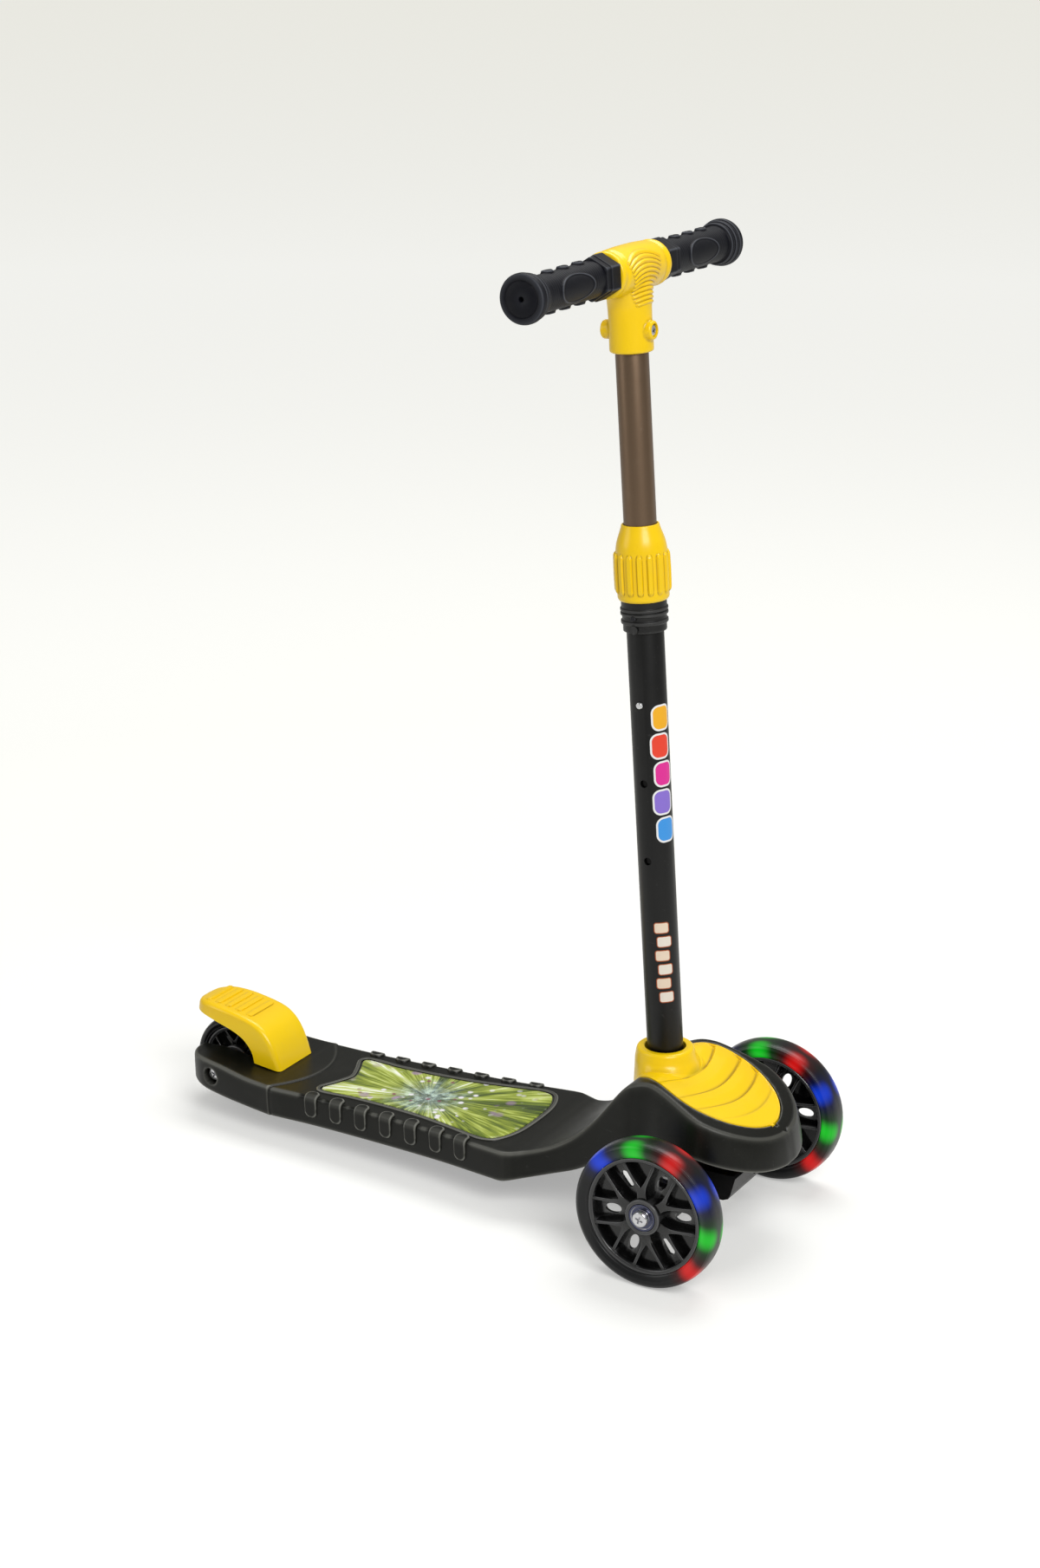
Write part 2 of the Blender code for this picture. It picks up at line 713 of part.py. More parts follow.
# Fixed part of the column

def make_lower_tube():
    tube = pipe(
        LOWER_TUBE_R, LOWER_TUBE_R - TUBE_WALL, COLUMN_START, LOWER_TUBE_TOP, 24, name="lower_tube"
    )
    for k in range(HOLES):
        cut(tube, drill(HOLE_R, -22, -5, 14, "Y", (0, 0, BUTTON_S - k * HOLE_PITCH)))
    cut(tube, drill(CROSS_BOLT_R + 0.25, -30, 30, 12, "Y", (0, 0, CROSS_BOLT_S)))
    return cut(tube, box(-30, 0, -1.2, 1.2, LOWER_TUBE_TOP - 26, LOWER_TUBE_TOP + 5))


def make_bolt(radius, head_r, head, start, end, axis, at, sides=12):
    """Bolt along an axis: its head lies from start to start + head, its shank on to end."""
    step = 1 if end > start else -1
    under = start + step * head
    profile = [
        (0, start), (head_r * 0.8, start), (head_r, start + step * head * 0.4),
        (head_r, under), (radius, under), (radius, end), (0, end),
    ]
    return lathe(profile, sides, axis, at, closed=False)


def make_nut(radius, bore, h0, h1, axis, at):
    return cut(
        rod(radius, h0, h1, 6, axis, at),
        drill(bore + 0.25, min(h0, h1) - 5, max(h0, h1) + 5, 12, axis, at),
    )


def make_collet():
    """Black collar at the top of the lower tube, with slit fingers that the knob squeezes."""
    top = LOWER_TUBE_TOP
    outer = LOWER_TUBE_R
    grip = UPPER_TUBE_R + GAP
    profile = [
        (outer + 0.25, top - 15.4), (outer + 2.1, top - 15.4), (outer + 2.1, top - 9.4),
        (outer + 3.6, top - 9.0), (outer + 3.6, top - 6.6), (outer + 2.7, top - 6.2),
        (outer + 2.7, top - 0.2), (outer + 4.0, top + 0.2), (outer + 4.0, top + 2.2),
        (outer + 3.2, top + 2.4), (outer + 3.1, top + 44), (outer + 0.2, top + 54),
        (grip, top + 54), (grip, top + GAP), (outer + 0.25, top + GAP),
    ]
    collet = lathe(profile, 20, name="collet")
    for a in (45, 135):
        slit = box(-40, 40, -0.8, 0.8, top + 18, top + 70)
        cut(collet, moved(slit, Matrix.Rotation(math.radians(a), 4, "Z")))
    return cut(collet, drill(1.7, -outer - 9, -outer + 0.6, 10, "Y", (0, 0, top - 3.4)))


def make_knob():
    """Twist knob with raised grip ribs and a domed top that closes on the upper tube."""
    low = LOWER_TUBE_TOP + 8.7
    body = LOWER_TUBE_R + 5.3
    profile = [
        (body - 0.6, low), (body, low + 1.4), (body + 0.3, low + 37), (body - 0.7, low + 43.5),
        (body - 4.6, low + 54.5), (body - 6.2, low + 57.4), (UPPER_TUBE_R + 0.5, low + 57.8),
        (UPPER_TUBE_R + 0.5, low + 51),
        (LOWER_TUBE_R + 1.1, low + 46.2), (LOWER_TUBE_R + 3.6, low + 35.4),
        (LOWER_TUBE_R + 3.6, low),
    ]
    knob = lathe(profile, 24, name="clamp_knob")
    section = [
        (body - 1.2, low + 6), (body + 1.7, low + 8.4), (body + 1.6, low + 33.4),
        (body - 1.0, low + 37),
    ]
    for k in range(KNOB_RIBS):
        rib = extruded(section, "Y", -2.2, 2.2)
        turn = math.tau * (k + 0.5) / KNOB_RIBS
        join(knob, moved(rib, Matrix.Rotation(turn, 4, "Z")))
    return knob


# Sliding part of the column

def make_upper_tube():
    tube = pipe(UPPER_TUBE_R, UPPER_BORE_R, UPPER_TUBE_START, UPPER_TUBE_TOP, 24, name="upper_tube")
    return cut(
        tube,
        drill(HOLE_R, -22, -5, 14, "Y", (0, 0, BUTTON_S)),
        drill(T_BOLT_R + 0.25, -30, 30, 12, "X", (0, 0, T_BOLT_S)),
    )


def make_tube_plug():
    base = UPPER_TUBE_START - GAP
    profile = [
        (0, base - 3), (UPPER_TUBE_R - 1, base - 3), (UPPER_TUBE_R, base - 2), (UPPER_TUBE_R, base),
        (UPPER_BORE_R - 0.2, base), (UPPER_BORE_R - 0.2, base + 9), (0, base + 9),
    ]
    return lathe(profile, 20, closed=False)


def make_snap_button():
    face = -(LOWER_TUBE_R + 2.0)
    seat = -math.sqrt(UPPER_BORE_R ** 2 - 4.4 ** 2) + GAP
    profile = [
        (0, face), (1.5, face + 0.3), (2.5, face + 1.0), (2.8, face + 2.0), (2.8, seat),
        (4.4, seat), (4.4, seat + 1.4), (0, seat + 1.4),
    ]
    return lathe(profile, 12, "Y", (0, 0, BUTTON_S), closed=False)


def make_snap_spring():
    """Bent leaf spring that pushes the button out through the tubes."""
    near = -math.sqrt(UPPER_BORE_R ** 2 - 4.4 ** 2) + 1.4 + 2 * GAP
    far = math.sqrt(UPPER_BORE_R ** 2 - 3.5 ** 2) - GAP
    s = BUTTON_S
    outer = [
        (near, s + 4), (near, s - 9), (near + 3, s - 22), (2.0, s - 29), (far, s - 20),
        (far, s + 4),
    ]
    inner = [
        (far - 0.8, s + 4), (far - 0.8, s - 19), (2.0, s - 27.4), (near + 3.8, s - 21),
        (near + 0.8, s - 9), (near + 0.8, s + 4),
    ]
    return extruded(outer + inner, "X", -3.5, 3.5)


def make_t_joint():
    """Socket that carries the bar across the top of the column, with bosses for its bolt."""
    low = T_BOTTOM
    r = UPPER_TUBE_R + 4.1
    sleeve = lathe([
        (0, low), (r - 0.7, low), (r, low + 1), (r - 0.6, low + 28), (r + 0.4, low + 44),
        (r + 0.4, COLUMN_HEIGHT - 3), (0, COLUMN_HEIGHT - 3),
    ], 20, closed=False, name="t_joint")
    b = BAR_R + 6.4
    barrel = lathe([
        (0, -T_HALF), (b - 0.7, -T_HALF), (b, -T_HALF + 1), (b - 0.4, -24), (b + 0.8, -9),
        (b + 0.8, 9), (b - 0.4, 24), (b, T_HALF - 1), (b - 0.7, T_HALF), (0, T_HALF),
    ], 20, "Y", (0, 0, COLUMN_HEIGHT), closed=False)
    boss = rod(7.3, -r - 5.5, r + 2.2, 16, "X", (0, 0, T_BOLT_S))
    join(sleeve, barrel, boss)
    return cut(
        sleeve,
        drill(BAR_R + 0.25, -80, 80, 20, "Y", (0, 0, COLUMN_HEIGHT)),
        drill(UPPER_TUBE_R + 0.25, low - 9, UPPER_TUBE_TOP + GAP, 20),
        drill(T_BOLT_R + 0.25, -40, 40, 12, "X", (0, 0, T_BOLT_S)),
        drill(5.0, r - 1.6, 40, 14, "X", (0, 0, T_BOLT_S)),
        drill(5.0, -40, -r - 0.5, 14, "X", (0, 0, T_BOLT_S)),
    )


def make_handlebar():
    half = BAR_WIDTH / 2 - 4.2
    return pipe(BAR_R, BAR_R - 1.6, -half, half, 24, "Y", (0, 0, COLUMN_HEIGHT))


def make_grip(side):
    """Rubber grip: a hexagonal root, a round body with raised bumps, a ringed flange."""
    end = BAR_WIDTH / 2
    root = T_HALF + 0.5
    profile = [
        (0, root + 0.6), (GRIP_R, root + 0.6), (GRIP_R, end - 16.6), (FLANGE_R, end - 14.2),
        (FLANGE_R - 1.3, end - 11.6), (FLANGE_R, end - 9.6), (FLANGE_R, end - 7.8),
        (FLANGE_R - 1.3, end - 5.8), (FLANGE_R, end - 4.0), (FLANGE_R - 0.7, end - 1.2),
        (FLANGE_R - 3, end), (0, end),
    ]
    at = (0, 0, COLUMN_HEIGHT)
    grip = lathe([(r, side * h) for r, h in profile], 20, "Y", at, closed=False)
    join(
        grip,
        rod(GRIP_R + 4.0, side * root, side * (root + 13), 6, "Y", at),
        rod(GRIP_R + 2.2, side * (root + 11), side * (root + 20), 6, "Y", at),
    )
    height = COLUMN_HEIGHT + GRIP_R - 0.8
    for k in range(3):
        y = side * (end - 32 - 20 * k)
        join(grip, rod(3.4, height, height + 2.2, 8, "Z", (0, y, 0), turn=0.3))
    return cut(
        grip,
        drill(BAR_R + 0.25, side * (root - 5), side * (end - 3.9), 20, "Y", at),
        drill(1.8, side * (end - 9), side * (end + 5), 10, "Y", at),
    )


# Leaning truck

def make_truck_beam():
    """Beam that carries the front wheels and leans about the pivot under the nose."""
    low = PIVOT_Z - 14
    high = PIVOT_Z + 8
    side = [
        (-14, low + 2), (-12, low), (31, low), (35.5, low + 1.8), (37.6, low + 6), (41.5, high - 2),
        (39.5, high), (-12, high), (-14, high - 2),
    ]
    beam = extruded(side, "Y", -BEAM_HALF, BEAM_HALF)
    tip = KINGPIN_Y + 9.5
    arm_low = FRONT_WHEEL_R - 14.7
    arm_high = FRONT_WHEEL_R + 13.5
    for way in (1, -1):
        y0, y1 = sorted((way * (BEAM_HALF - 4), way * tip))
        join(beam, box(-ARM_HALF_X, ARM_HALF_X, y0, y1, arm_low, arm_high))
        y0, y1 = sorted((way * (KINGPIN_Y - 10.5), way * (tip + 9)))
        cut(beam, box(-30, 30, y0, y1, FRONT_WHEEL_R - 10, FRONT_WHEEL_R + 9.6))
        cut(beam, drill(KINGPIN_R + 0.15, 0, 120, 16, "Z", (0, way * KINGPIN_Y, 0)))
    well = PILLAR_HALF + 1.8
    return cut(
        beam,
        box(PILLAR_X0 - 0.5, PILLAR_X1 + 0.5, -well, well, 0, 120),
        drill(PIVOT_R + 0.2, -40, 60, 16, "X", (0, 0, PIVOT_Z)),
        drill(PIVOT_R + 4.2, 34.5, 60, 20, "X", (0, 0, PIVOT_Z)),
        drill(PIVOT_R + 4.4, -40, -8.5, 20, "X", (0, 0, PIVOT_Z)),
    )


def make_kingpin(side):
    low = FRONT_WHEEL_R - 16.2
    high = FRONT_WHEEL_R + 16.4
    profile = [
        (0, low), (KINGPIN_R, low), (KINGPIN_R, high - 2.6), (KINGPIN_R + 2.4, high - 2.6),
        (KINGPIN_R + 2.4, high - 1.0), (KINGPIN_R + 1.0, high),
        (0, high),
    ]
    return lathe(profile, 12, "Z", (0, side * KINGPIN_Y, 0), closed=False)


def make_knuckle(side):
    """Stub that turns on the kingpin and holds the wheel bolt; its arm points backwards."""
    y = side * KINGPIN_Y
    low = FRONT_WHEEL_R - 9.7
    knuckle = rod(8.4, low, FRONT_WHEEL_R + 9.3, 16, "Z", (0, y, 0), "knuckle")
    arm_end = -STEER_ARM
    join(
        knuckle,
        rod(7.4, y, side * (KINGPIN_Y + KNUCKLE_REACH), 14, "Y", (0, 0, FRONT_WHEEL_R)),
        box(arm_end, 0, y - 4.6, y + 4.6, low + 0.05, low + 5.5),
        rod(5.4, low + 0.1, low + 5.4, 12, "Z", (arm_end, y, 0)),
    )
    return cut(
        knuckle,
        drill(KINGPIN_R + 0.15, 0, 120, 16, "Z", (0, y, 0)),
        drill(ROD_PIN_R + 0.1, 0, 120, 12, "Z", (arm_end, y, 0)),
        drill(AXLE_R + 0.15, y + side * 5.2, side * 200, 16, "Y", (0, 0, FRONT_WHEEL_R)),
    )


def make_rod_pin(side):
    low = FRONT_WHEEL_R - 17.6
    high = FRONT_WHEEL_R - 3.0
    profile = [
        (0, low), (ROD_PIN_R + 1.6, low), (ROD_PIN_R + 1.6, low + 1.2), (ROD_PIN_R, low + 1.2),
        (ROD_PIN_R, high), (0, high),
    ]
    return lathe(profile, 12, "Z", (-STEER_ARM, side * KINGPIN_Y, 0), closed=False)


def make_tie_rod():
    """Cross rod that swings both knuckles, driven by the pin in its middle."""
    low = FRONT_WHEEL_R - 16.1
    high = FRONT_WHEEL_R - 10.2
    x = -STEER_ARM
    bar = box(x - 3.4, x + 3.4, -KINGPIN_Y, KINGPIN_Y, low, high, "tie_rod")
    join(bar, box(x - 6, x + 5.6, -8, 8, PIN_DROP_Z - 7, high - 0.4))
    for side in (1, -1):
        join(bar, rod(6.2, low - 0.1, high + 0.1, 16, "Z", (x, side * KINGPIN_Y, 0)))
        cut(bar, drill(ROD_PIN_R + 0.5, 0, 99, 14, "Z", (x, side * KINGPIN_Y, 0)))
    slot = STEER_PIN_R + 0.35
    points = []
    for a in np.radians(np.arange(0, 360, 30)):
        half_length = 0.5 * math.copysign(1, math.sin(a + 0.01))
        points.append((slot * math.cos(a), PIN_DROP_Z + 0.3 + slot * math.sin(a) + half_length))
    return cut(bar, extruded(points, "X", x - 20, x + 20))


# Wheels, drawn about their own centre with the outer face towards +y

def make_tyre(radius, width, depth, groove, sides):
    bore = radius - depth + GAP / 2
    h = width / 2
    outer = [
        (bore, -h + 3), (radius - 0.45 * depth, -h), (radius - 0.13 * depth, -h + 2.4),
        (radius, -h + 6.6), (radius, h - 6.6), (radius - 0.13 * depth, h - 2.4),
        (radius - 0.45 * depth, h), (bore, h - 3),
    ]
    inner = [(bore, 4.4), (bore + groove, 4.4), (bore + groove, -4.4), (bore, -4.4)] if groove else []
    return lathe(outer + inner, sides, "Y")


def spoke_outline(turn, root, rim):
    """Outline of one Y-shaped spoke in the plane of the wheel."""
    span = rim - root
    half = [(0.0, 2.8), (0.36, 2.8), (0.66, 6.8), (1.0, 12.2), (1.0, 8.2), (0.66, 3.2)]
    right = [(root + share * span, v * rim / 45) for share, v in half]
    crotch = [(root + 0.46 * span, 0.0)]
    left = [(u, -v) for u, v in right[::-1]]
    return [
        (u * math.cos(turn) - v * math.sin(turn), u * math.sin(turn) + v * math.cos(turn))
        for u, v in right + crotch + left
    ]


def make_core(rim, rim_wall, hub, width, sides):
    """Wheel core: rim, split spokes and a hub bored for a bearing in each face."""
    h = width / 2
    core = pipe(rim, rim - rim_wall, 3.2 - h, h - 3.2, sides, "Y", name="core")
    seat = BEARING_R + 0.35
    web = AXLE_R + 2.6
    shoulder = h - 0.5 - BEARING_W - 0.1
    hub_solid = lathe([
        (seat, h - 0.5), (hub, h - 0.5), (hub, 0.5 - h), (seat, 0.5 - h), (seat, -shoulder),
        (web, -shoulder), (web, shoulder), (seat, shoulder),
    ], 16, "Y")
    join(core, hub_solid)
    root = (hub + seat) / 2
    for k in range(SPOKES):
        turn = SPOKE_PHASE + math.tau * k / SPOKES
        spoke = extruded(spoke_outline(turn, root, rim - 0.5 * rim_wall), "Y", 4.6 - h, h - 4.6)
        join(core, spoke)
    return core


def make_bearing(inner_face, outer_face):
    return pipe(BEARING_R, AXLE_R + 0.2, inner_face, outer_face, 16, "Y")


def make_lights(rim):
    """Band round the rim that carries the light blocks inside the tyre."""
    base = rim + GAP + 0.1
    band = pipe(base + 1.3, base, -2.6, 2.6, 36, "Y")
    for k in range(LIGHTS):
        block = box(base + 0.5, base + 4.0, -2.4, 2.4, -2.8, 2.8)
        join(band, moved(block, Matrix.Rotation(-LIGHT_START - k * LIGHT_PITCH, 4, "Y")))
    return band


# Foot brake: upper line and lower edge of its side as (x, z) pairs in rear wheel radii from the
# rear axle, with half width
BRAKE = (
    (1.425, 0.18, 0.775, 0.26, 25.5),
    (1.325, 0.5, 0.7125, 0.5, 25.5),
    (1.2, 0.775, 0.55, 0.7125, 25.5),
    (1.025, 1.0, 0.3625, 0.8375, 25.5),
    (0.775, 1.16, 0.15, 0.925, 25.4),
    (0.35, 1.275, -0.075, 0.99, 25.2),
    (-0.125, 1.355, -0.35, 1.07, 24.6),
    (-0.5, 1.385, -0.6125, 1.125, 22.0),
    (-0.75, 1.36, -0.7875, 1.15, 16.6),
    (-0.875, 1.315, -0.885, 1.17, 9.0),
)
# Crown of the shoe under the fender, and the tread bars on the fender, in the same measure
SHOE_CROWN = ((-0.35, 1.35), (-0.125, 1.325), (0.35, 1.24), (0.5, 1.205))
BRAKE_BARS = (-0.53, -0.27, -0.018, 0.245, 0.52)
BRAKE_BAR_HALF = 17.5
BRAKE_BAR_RISE = 0.8


def from_rear_axle(x, z):
    return REAR_X + x * REAR_WHEEL_R, REAR_AXLE_Z + z * REAR_WHEEL_R


def brake_line():
    rows = []
    for px, pz, qx, qz, w in BRAKE:
        px, pz = from_rear_axle(px, pz)
        qx, qz = from_rear_axle(qx, qz)
        rows.append((px, pz, qx, qz, w))
    return np.array(rows)


def brake_rows(line, inset):
    rows = []
    for px, pz, qx, qz, w in line:
        reach = math.hypot(qx - px, qz - pz)
        ux, uz = (qx - px) / reach, (qz - pz) / reach
        w -= inset
        depth = (inset, inset + 0.6, inset + 3.0, 0.6 * reach, reach)
        across = (0.0, max(w - 5.0, 1.0), w - 0.4, w, w)
        half = [(px + ux * d, y, pz + uz * d) for d, y in zip(depth, across)]
        left = half[:0:-1]
        right = [(a, -b, c) for a, b, c in half[1:]]
        rows.append(left + [half[0]] + right)
    return rows


def brake_bar(line, part):
    """Tread bar across the top of the fender, steep behind and running out in front."""
    x = REAR_X + part * REAR_WHEEL_R
    back, front = (float(np.interp(a, line[::-1, 0], line[::-1, 1])) for a in (x - 2.8, x + 2.8))
    section = [
        (x - 3.0, back - 1.0), (x - 2.6, back + BRAKE_BAR_RISE), (x + 2.2, front + BRAKE_BAR_RISE),
        (x + 3.0, front - 1.0),
    ]
    return extruded(section, "Y", -BRAKE_BAR_HALF, BRAKE_BAR_HALF)


def make_brake():
    """Hollow fender with a shoe over the wheel and a tongue that hinges in the deck slot."""
    line = brake_line()
    inner = line.copy()
    inner[0] = line[0] + 0.24 * (line[1] - line[0])
    inner[-1] = line[-2] + 0.5 * (line[-1] - line[-2])
    brake = shell(brake_rows(line, 0.0), brake_rows(inner, BRAKE_WALL), "brake_fender")
    turn = [math.radians(a) for a in range(180, 361, 20)]
    px, pz = REAR_X + BRAKE_PIN_X, BRAKE_PIN_Z
    round_end = [(px + 4.6 * math.cos(a), pz + 4.6 * math.sin(a)) for a in turn]
    tongue = extruded([(px + 4.6, 62.0), (px - 4.6, 62.4)] + round_end, "Y", -12.5, 12.5)
    sweep = [math.radians(a) for a in range(62, 109, 6)]
    reach = REAR_WHEEL_R + SHOE_GAP
    arc = [(REAR_X + reach * math.cos(a), REAR_AXLE_Z + reach * math.sin(a)) for a in sweep]
    crown = [from_rear_axle(*point) for point in SHOE_CROWN]
    shoe = extruded(arc + crown, "Y", -9.0, 9.0)
    cut(brake, drill(reach - 0.3, -14, 14, 36, "Y", (REAR_X, 0, REAR_AXLE_Z)))
    join(brake, tongue, shoe)
    join(brake, *[brake_bar(line, part) for part in BRAKE_BARS])
    return cut(
        brake,
        drill(BRAKE_PIN_R + 0.2, -30, 30, 14, "Y", (px, 0, pz)),
        box(px - 9, px + 9, -4.6, 4.6, pz - 9, pz + 6.5),
    )


def make_brake_spring():
    """Coil round the hinge pin with one leg against the fender and one against the deck."""
    px, pz = REAR_X + BRAKE_PIN_X, BRAKE_PIN_Z
    radius = BRAKE_PIN_R + 0.9
    turns = 2.5
    steps = 20
    path = [(px - 3.4, -2.6, pz + 5.6)]
    for k in range(steps + 1):
        a = math.radians(180) - math.tau * turns * k / steps
        path.append((px + radius * math.cos(a), -2.6 + 5.2 * k / steps, pz + radius * math.sin(a)))
    path.append((px + radius + 0.9, 2.6, pz - 6.0))
    return wire(path, 0.5, 4)


# Frames of the assembly. STANCE tips the level deck about the front axle until the rear wheel
# touches the ground, and centres the scooter along x.

def stance_matrix():
    tip = Matrix.Rotation(-STANCE_ANGLE, 4, "Y")
    hub = Matrix.Translation((0, 0, FRONT_WHEEL_R * MM))
    turned = hub @ tip @ hub.inverted()
    rear = (turned @ Matrix.Translation((REAR_X * MM, 0, REAR_AXLE_Z * MM))).translation
    back = rear.x - REAR_WHEEL_R * MM
    x, _, top, foot, bulge, _ = STATIONS[-1]
    nose_tip = Matrix.Translation(((x + bulge) * MM, 0, (0.45 * foot + 0.55 * top) * MM))
    front = (turned @ nose_tip).translation.x
    return Matrix.Translation((-(front + back) / 2, 0, 0)) @ turned


def column_matrix(unit):
    foot = Matrix.Translation((COLUMN_X * unit, 0, COLUMN_FOOT_Z * unit))
    return foot @ Matrix.Rotation(-COLUMN_LEAN, 4, "Y")


STANCE = stance_matrix()
COLUMN = column_matrix(MM)
COLUMN_MM = column_matrix(1.0)
LEVEL = Matrix.Identity(4)


def build_chassis():
    place(make_deck_body(), LEVEL, colour=OLIVE_BLACK, roughness=0.42, name="deck_body")
    place(make_deck_panel(), LEVEL, colour=GREEN, roughness=0.3, name="deck_panel")
    place(make_front_cover(), LEVEL, colour=YELLOW, roughness=0.28, name="front_cover")
    for side, hand in SIDES:
        screw = make_cover_screw(side)
        place(screw, LEVEL, colour=STEEL, roughness=0.35, metallic=1, name=f"cover_screw_{hand}")
    place(make_lower_tube(), COLUMN, colour=BLACK, roughness=0.45, metallic=0.3, name="lower_tube")
    at = (0, 0, CROSS_BOLT_S)
    seat = BOSS_R + GAP
    bolt = make_bolt(CROSS_BOLT_R, 4.4, 3, -seat - 3, BOSS_R + 7, "Y", at)
    place(bolt, COLUMN, colour=STEEL, roughness=0.3, metallic=1, name="column_bolt")
    nut = make_nut(4.6, CROSS_BOLT_R, seat, seat + 4, "Y", at)
    place(nut, COLUMN, colour=STEEL, roughness=0.35, metallic=1, name="column_nut")
    place(make_collet(), COLUMN, colour=BLACK, roughness=0.4, name="collet")
    at = (0, 0, LOWER_TUBE_TOP - 3.4)
    face = -LOWER_TUBE_R - 3.0
    screw = make_bolt(1.3, 2.3, 1.4, face - 1.5, -LOWER_TUBE_R - 0.4, "Y", at, 10)
    place(screw, COLUMN, colour=STEEL, roughness=0.3, metallic=1, name="collet_screw")
    axle = (REAR_X, 0, REAR_AXLE_Z)
    bolt = make_bolt(AXLE_R, HEAD_R, 4.5, -RECESS_Y - 4.8, RECESS_Y + 6.5, "Y", axle)
    place(bolt, LEVEL, axle, STEEL, 0.3, 1, "rear_axle_bolt")
    nut = make_nut(7.2, AXLE_R, RECESS_Y + GAP, RECESS_Y + 6.0, "Y", axle)
    place(nut, LEVEL, axle, STEEL, 0.35, 1, "rear_axle_nut")
    for side, hand in SIDES:
        spacer = pipe(
            5.6, AXLE_R + 0.3, side * (REAR_WHEEL_W / 2 + 0.2), side * (SLOT_HALF - 0.2), 12, "Y", axle
        )
        place(spacer, LEVEL, axle, STEEL, 0.4, 1, f"rear_spacer_{hand}")
    pin_at = (REAR_X + BRAKE_PIN_X, 0, BRAKE_PIN_Z)
    pin = rod(BRAKE_PIN_R, -23, 23, 14, "Y", pin_at)
    place(pin, LEVEL, pin_at, STEEL, 0.3, 1, "brake_pin")
    pin = rod(STEER_PIN_R, LUG_X0 - 0.5, STEER_PIN_X + 7, 14, "X", (0, 0, PIN_DROP_Z))
    place(pin, LEVEL, colour=STEEL, roughness=0.3, metallic=1, name="steer_pin")
    bush = pipe(
        BUSH_R, PIVOT_R + 0.2, PILLAR_X0 + 0.2, PILLAR_X1 - 0.2, 20, "X", (0, 0, PIVOT_Z)
    )
    place(bush, LEVEL, colour=BLACK, roughness=0.8, name="pivot_bush")


def build_truck():
    place(make_truck_beam(), LEVEL, (0, 0, PIVOT_Z), BLACK, 0.5, 0, "truck_beam")
    at = (0, 0, PIVOT_Z)
    bolt = make_bolt(PIVOT_R, PIVOT_R + 3.4, 5, 39.8, -13.2, "X", at)
    place(bolt, LEVEL, at, STEEL, 0.3, 1, "pivot_bolt")
    nut = make_nut(PIVOT_R + 3.8, PIVOT_R, -13.8, -8.8, "X", at)
    place(nut, LEVEL, at, STEEL, 0.35, 1, "pivot_nut")
    rod_at = (STEER_PIN_X, 0, FRONT_WHEEL_R - 13)
    place(make_tie_rod(), LEVEL, rod_at, BLACK, 0.45, 0.4, "tie_rod")
    for side, hand in SIDES:
        pivot = (0, side * KINGPIN_Y, FRONT_WHEEL_R)
        place(make_kingpin(side), LEVEL, pivot, STEEL, 0.3, 1, f"kingpin_{hand}")
        place(make_knuckle(side), LEVEL, pivot, BLACK, 0.45, 0.2, f"knuckle_{hand}")
        place(make_rod_pin(side), LEVEL, pivot, STEEL, 0.3, 1, f"rod_pin_{hand}")
        reach = side * (KINGPIN_Y + KNUCKLE_REACH + 0.25)
        inner = side * (TRACK / 2 - FRONT_WHEEL_W / 2 + 0.2)
        spacer = pipe(5.6, AXLE_R + 0.3, reach, inner, 12, "Y", (0, 0, FRONT_WHEEL_R))
        place(spacer, LEVEL, pivot, STEEL, 0.4, 1, f"axle_spacer_{hand}")
        face = TRACK / 2 + FRONT_WHEEL_W / 2 - 0.2
        bolt = make_bolt(
            AXLE_R, HEAD_R, 4.2, side * (face + 4.2), side * (KINGPIN_Y + 5.6), "Y",
            (0, 0, FRONT_WHEEL_R),
        )
        place(bolt, LEVEL, pivot, STEEL, 0.25, 1, f"axle_bolt_{hand}")


def build_front_wheel(side, hand):
    centre = Matrix.Translation((0, side * TRACK / 2, FRONT_WHEEL_R))
    at = (0, side * TRACK / 2, FRONT_WHEEL_R)
    rim = FRONT_WHEEL_R - TYRE_DEPTH_FRONT - GAP / 2
    half = FRONT_WHEEL_W / 2
    pieces = (
        ("wheel_core", make_core(rim, 3.2, 14.6, FRONT_WHEEL_W, 28), BLACK, 0.2, 0),
        ("tyre", make_tyre(FRONT_WHEEL_R, FRONT_WHEEL_W, TYRE_DEPTH_FRONT, 4.7, 36), SMOKE, 0.25, 0),
        ("wheel_lights", make_lights(rim), BLACK, 0.4, 0),
        ("bearing_outer", make_bearing(half - 0.5 - BEARING_W, half - 0.5), STEEL, 0.3, 1),
        ("bearing_inner", make_bearing(0.5 + BEARING_W - half, 0.5 - half), STEEL, 0.3, 1),
    )
    for label, piece, colour, roughness, metallic in pieces:
        if side < 0:
            moved(piece, Matrix.Scale(-1, 4, (0, 1, 0)))
            piece.data.flip_normals()
        moved(piece, centre)
        place(piece, LEVEL, at, colour, roughness, metallic, f"{label}_{hand}")


def build_rear_wheel():
    at = (REAR_X, 0, REAR_AXLE_Z)
    rim = REAR_WHEEL_R - TYRE_DEPTH_REAR - GAP / 2
    half = REAR_WHEEL_W / 2
    pieces = (
        ("rear_core", make_core(rim, 3.0, 14.4, REAR_WHEEL_W, 24), BLACK, 0.25, 0),
        ("rear_tyre", make_tyre(REAR_WHEEL_R, REAR_WHEEL_W, TYRE_DEPTH_REAR, 0, 32), BLACK, 0.4, 0),
        ("rear_bearing_left", make_bearing(half - 0.5 - BEARING_W, half - 0.5), STEEL, 0.3, 1),
        ("rear_bearing_right", make_bearing(0.5 + BEARING_W - half, 0.5 - half), STEEL, 0.3, 1),
    )
    for label, piece, colour, roughness, metallic in pieces:
        moved(piece, Matrix.Translation(at))
        place(piece, LEVEL, at, colour, roughness, metallic, label)


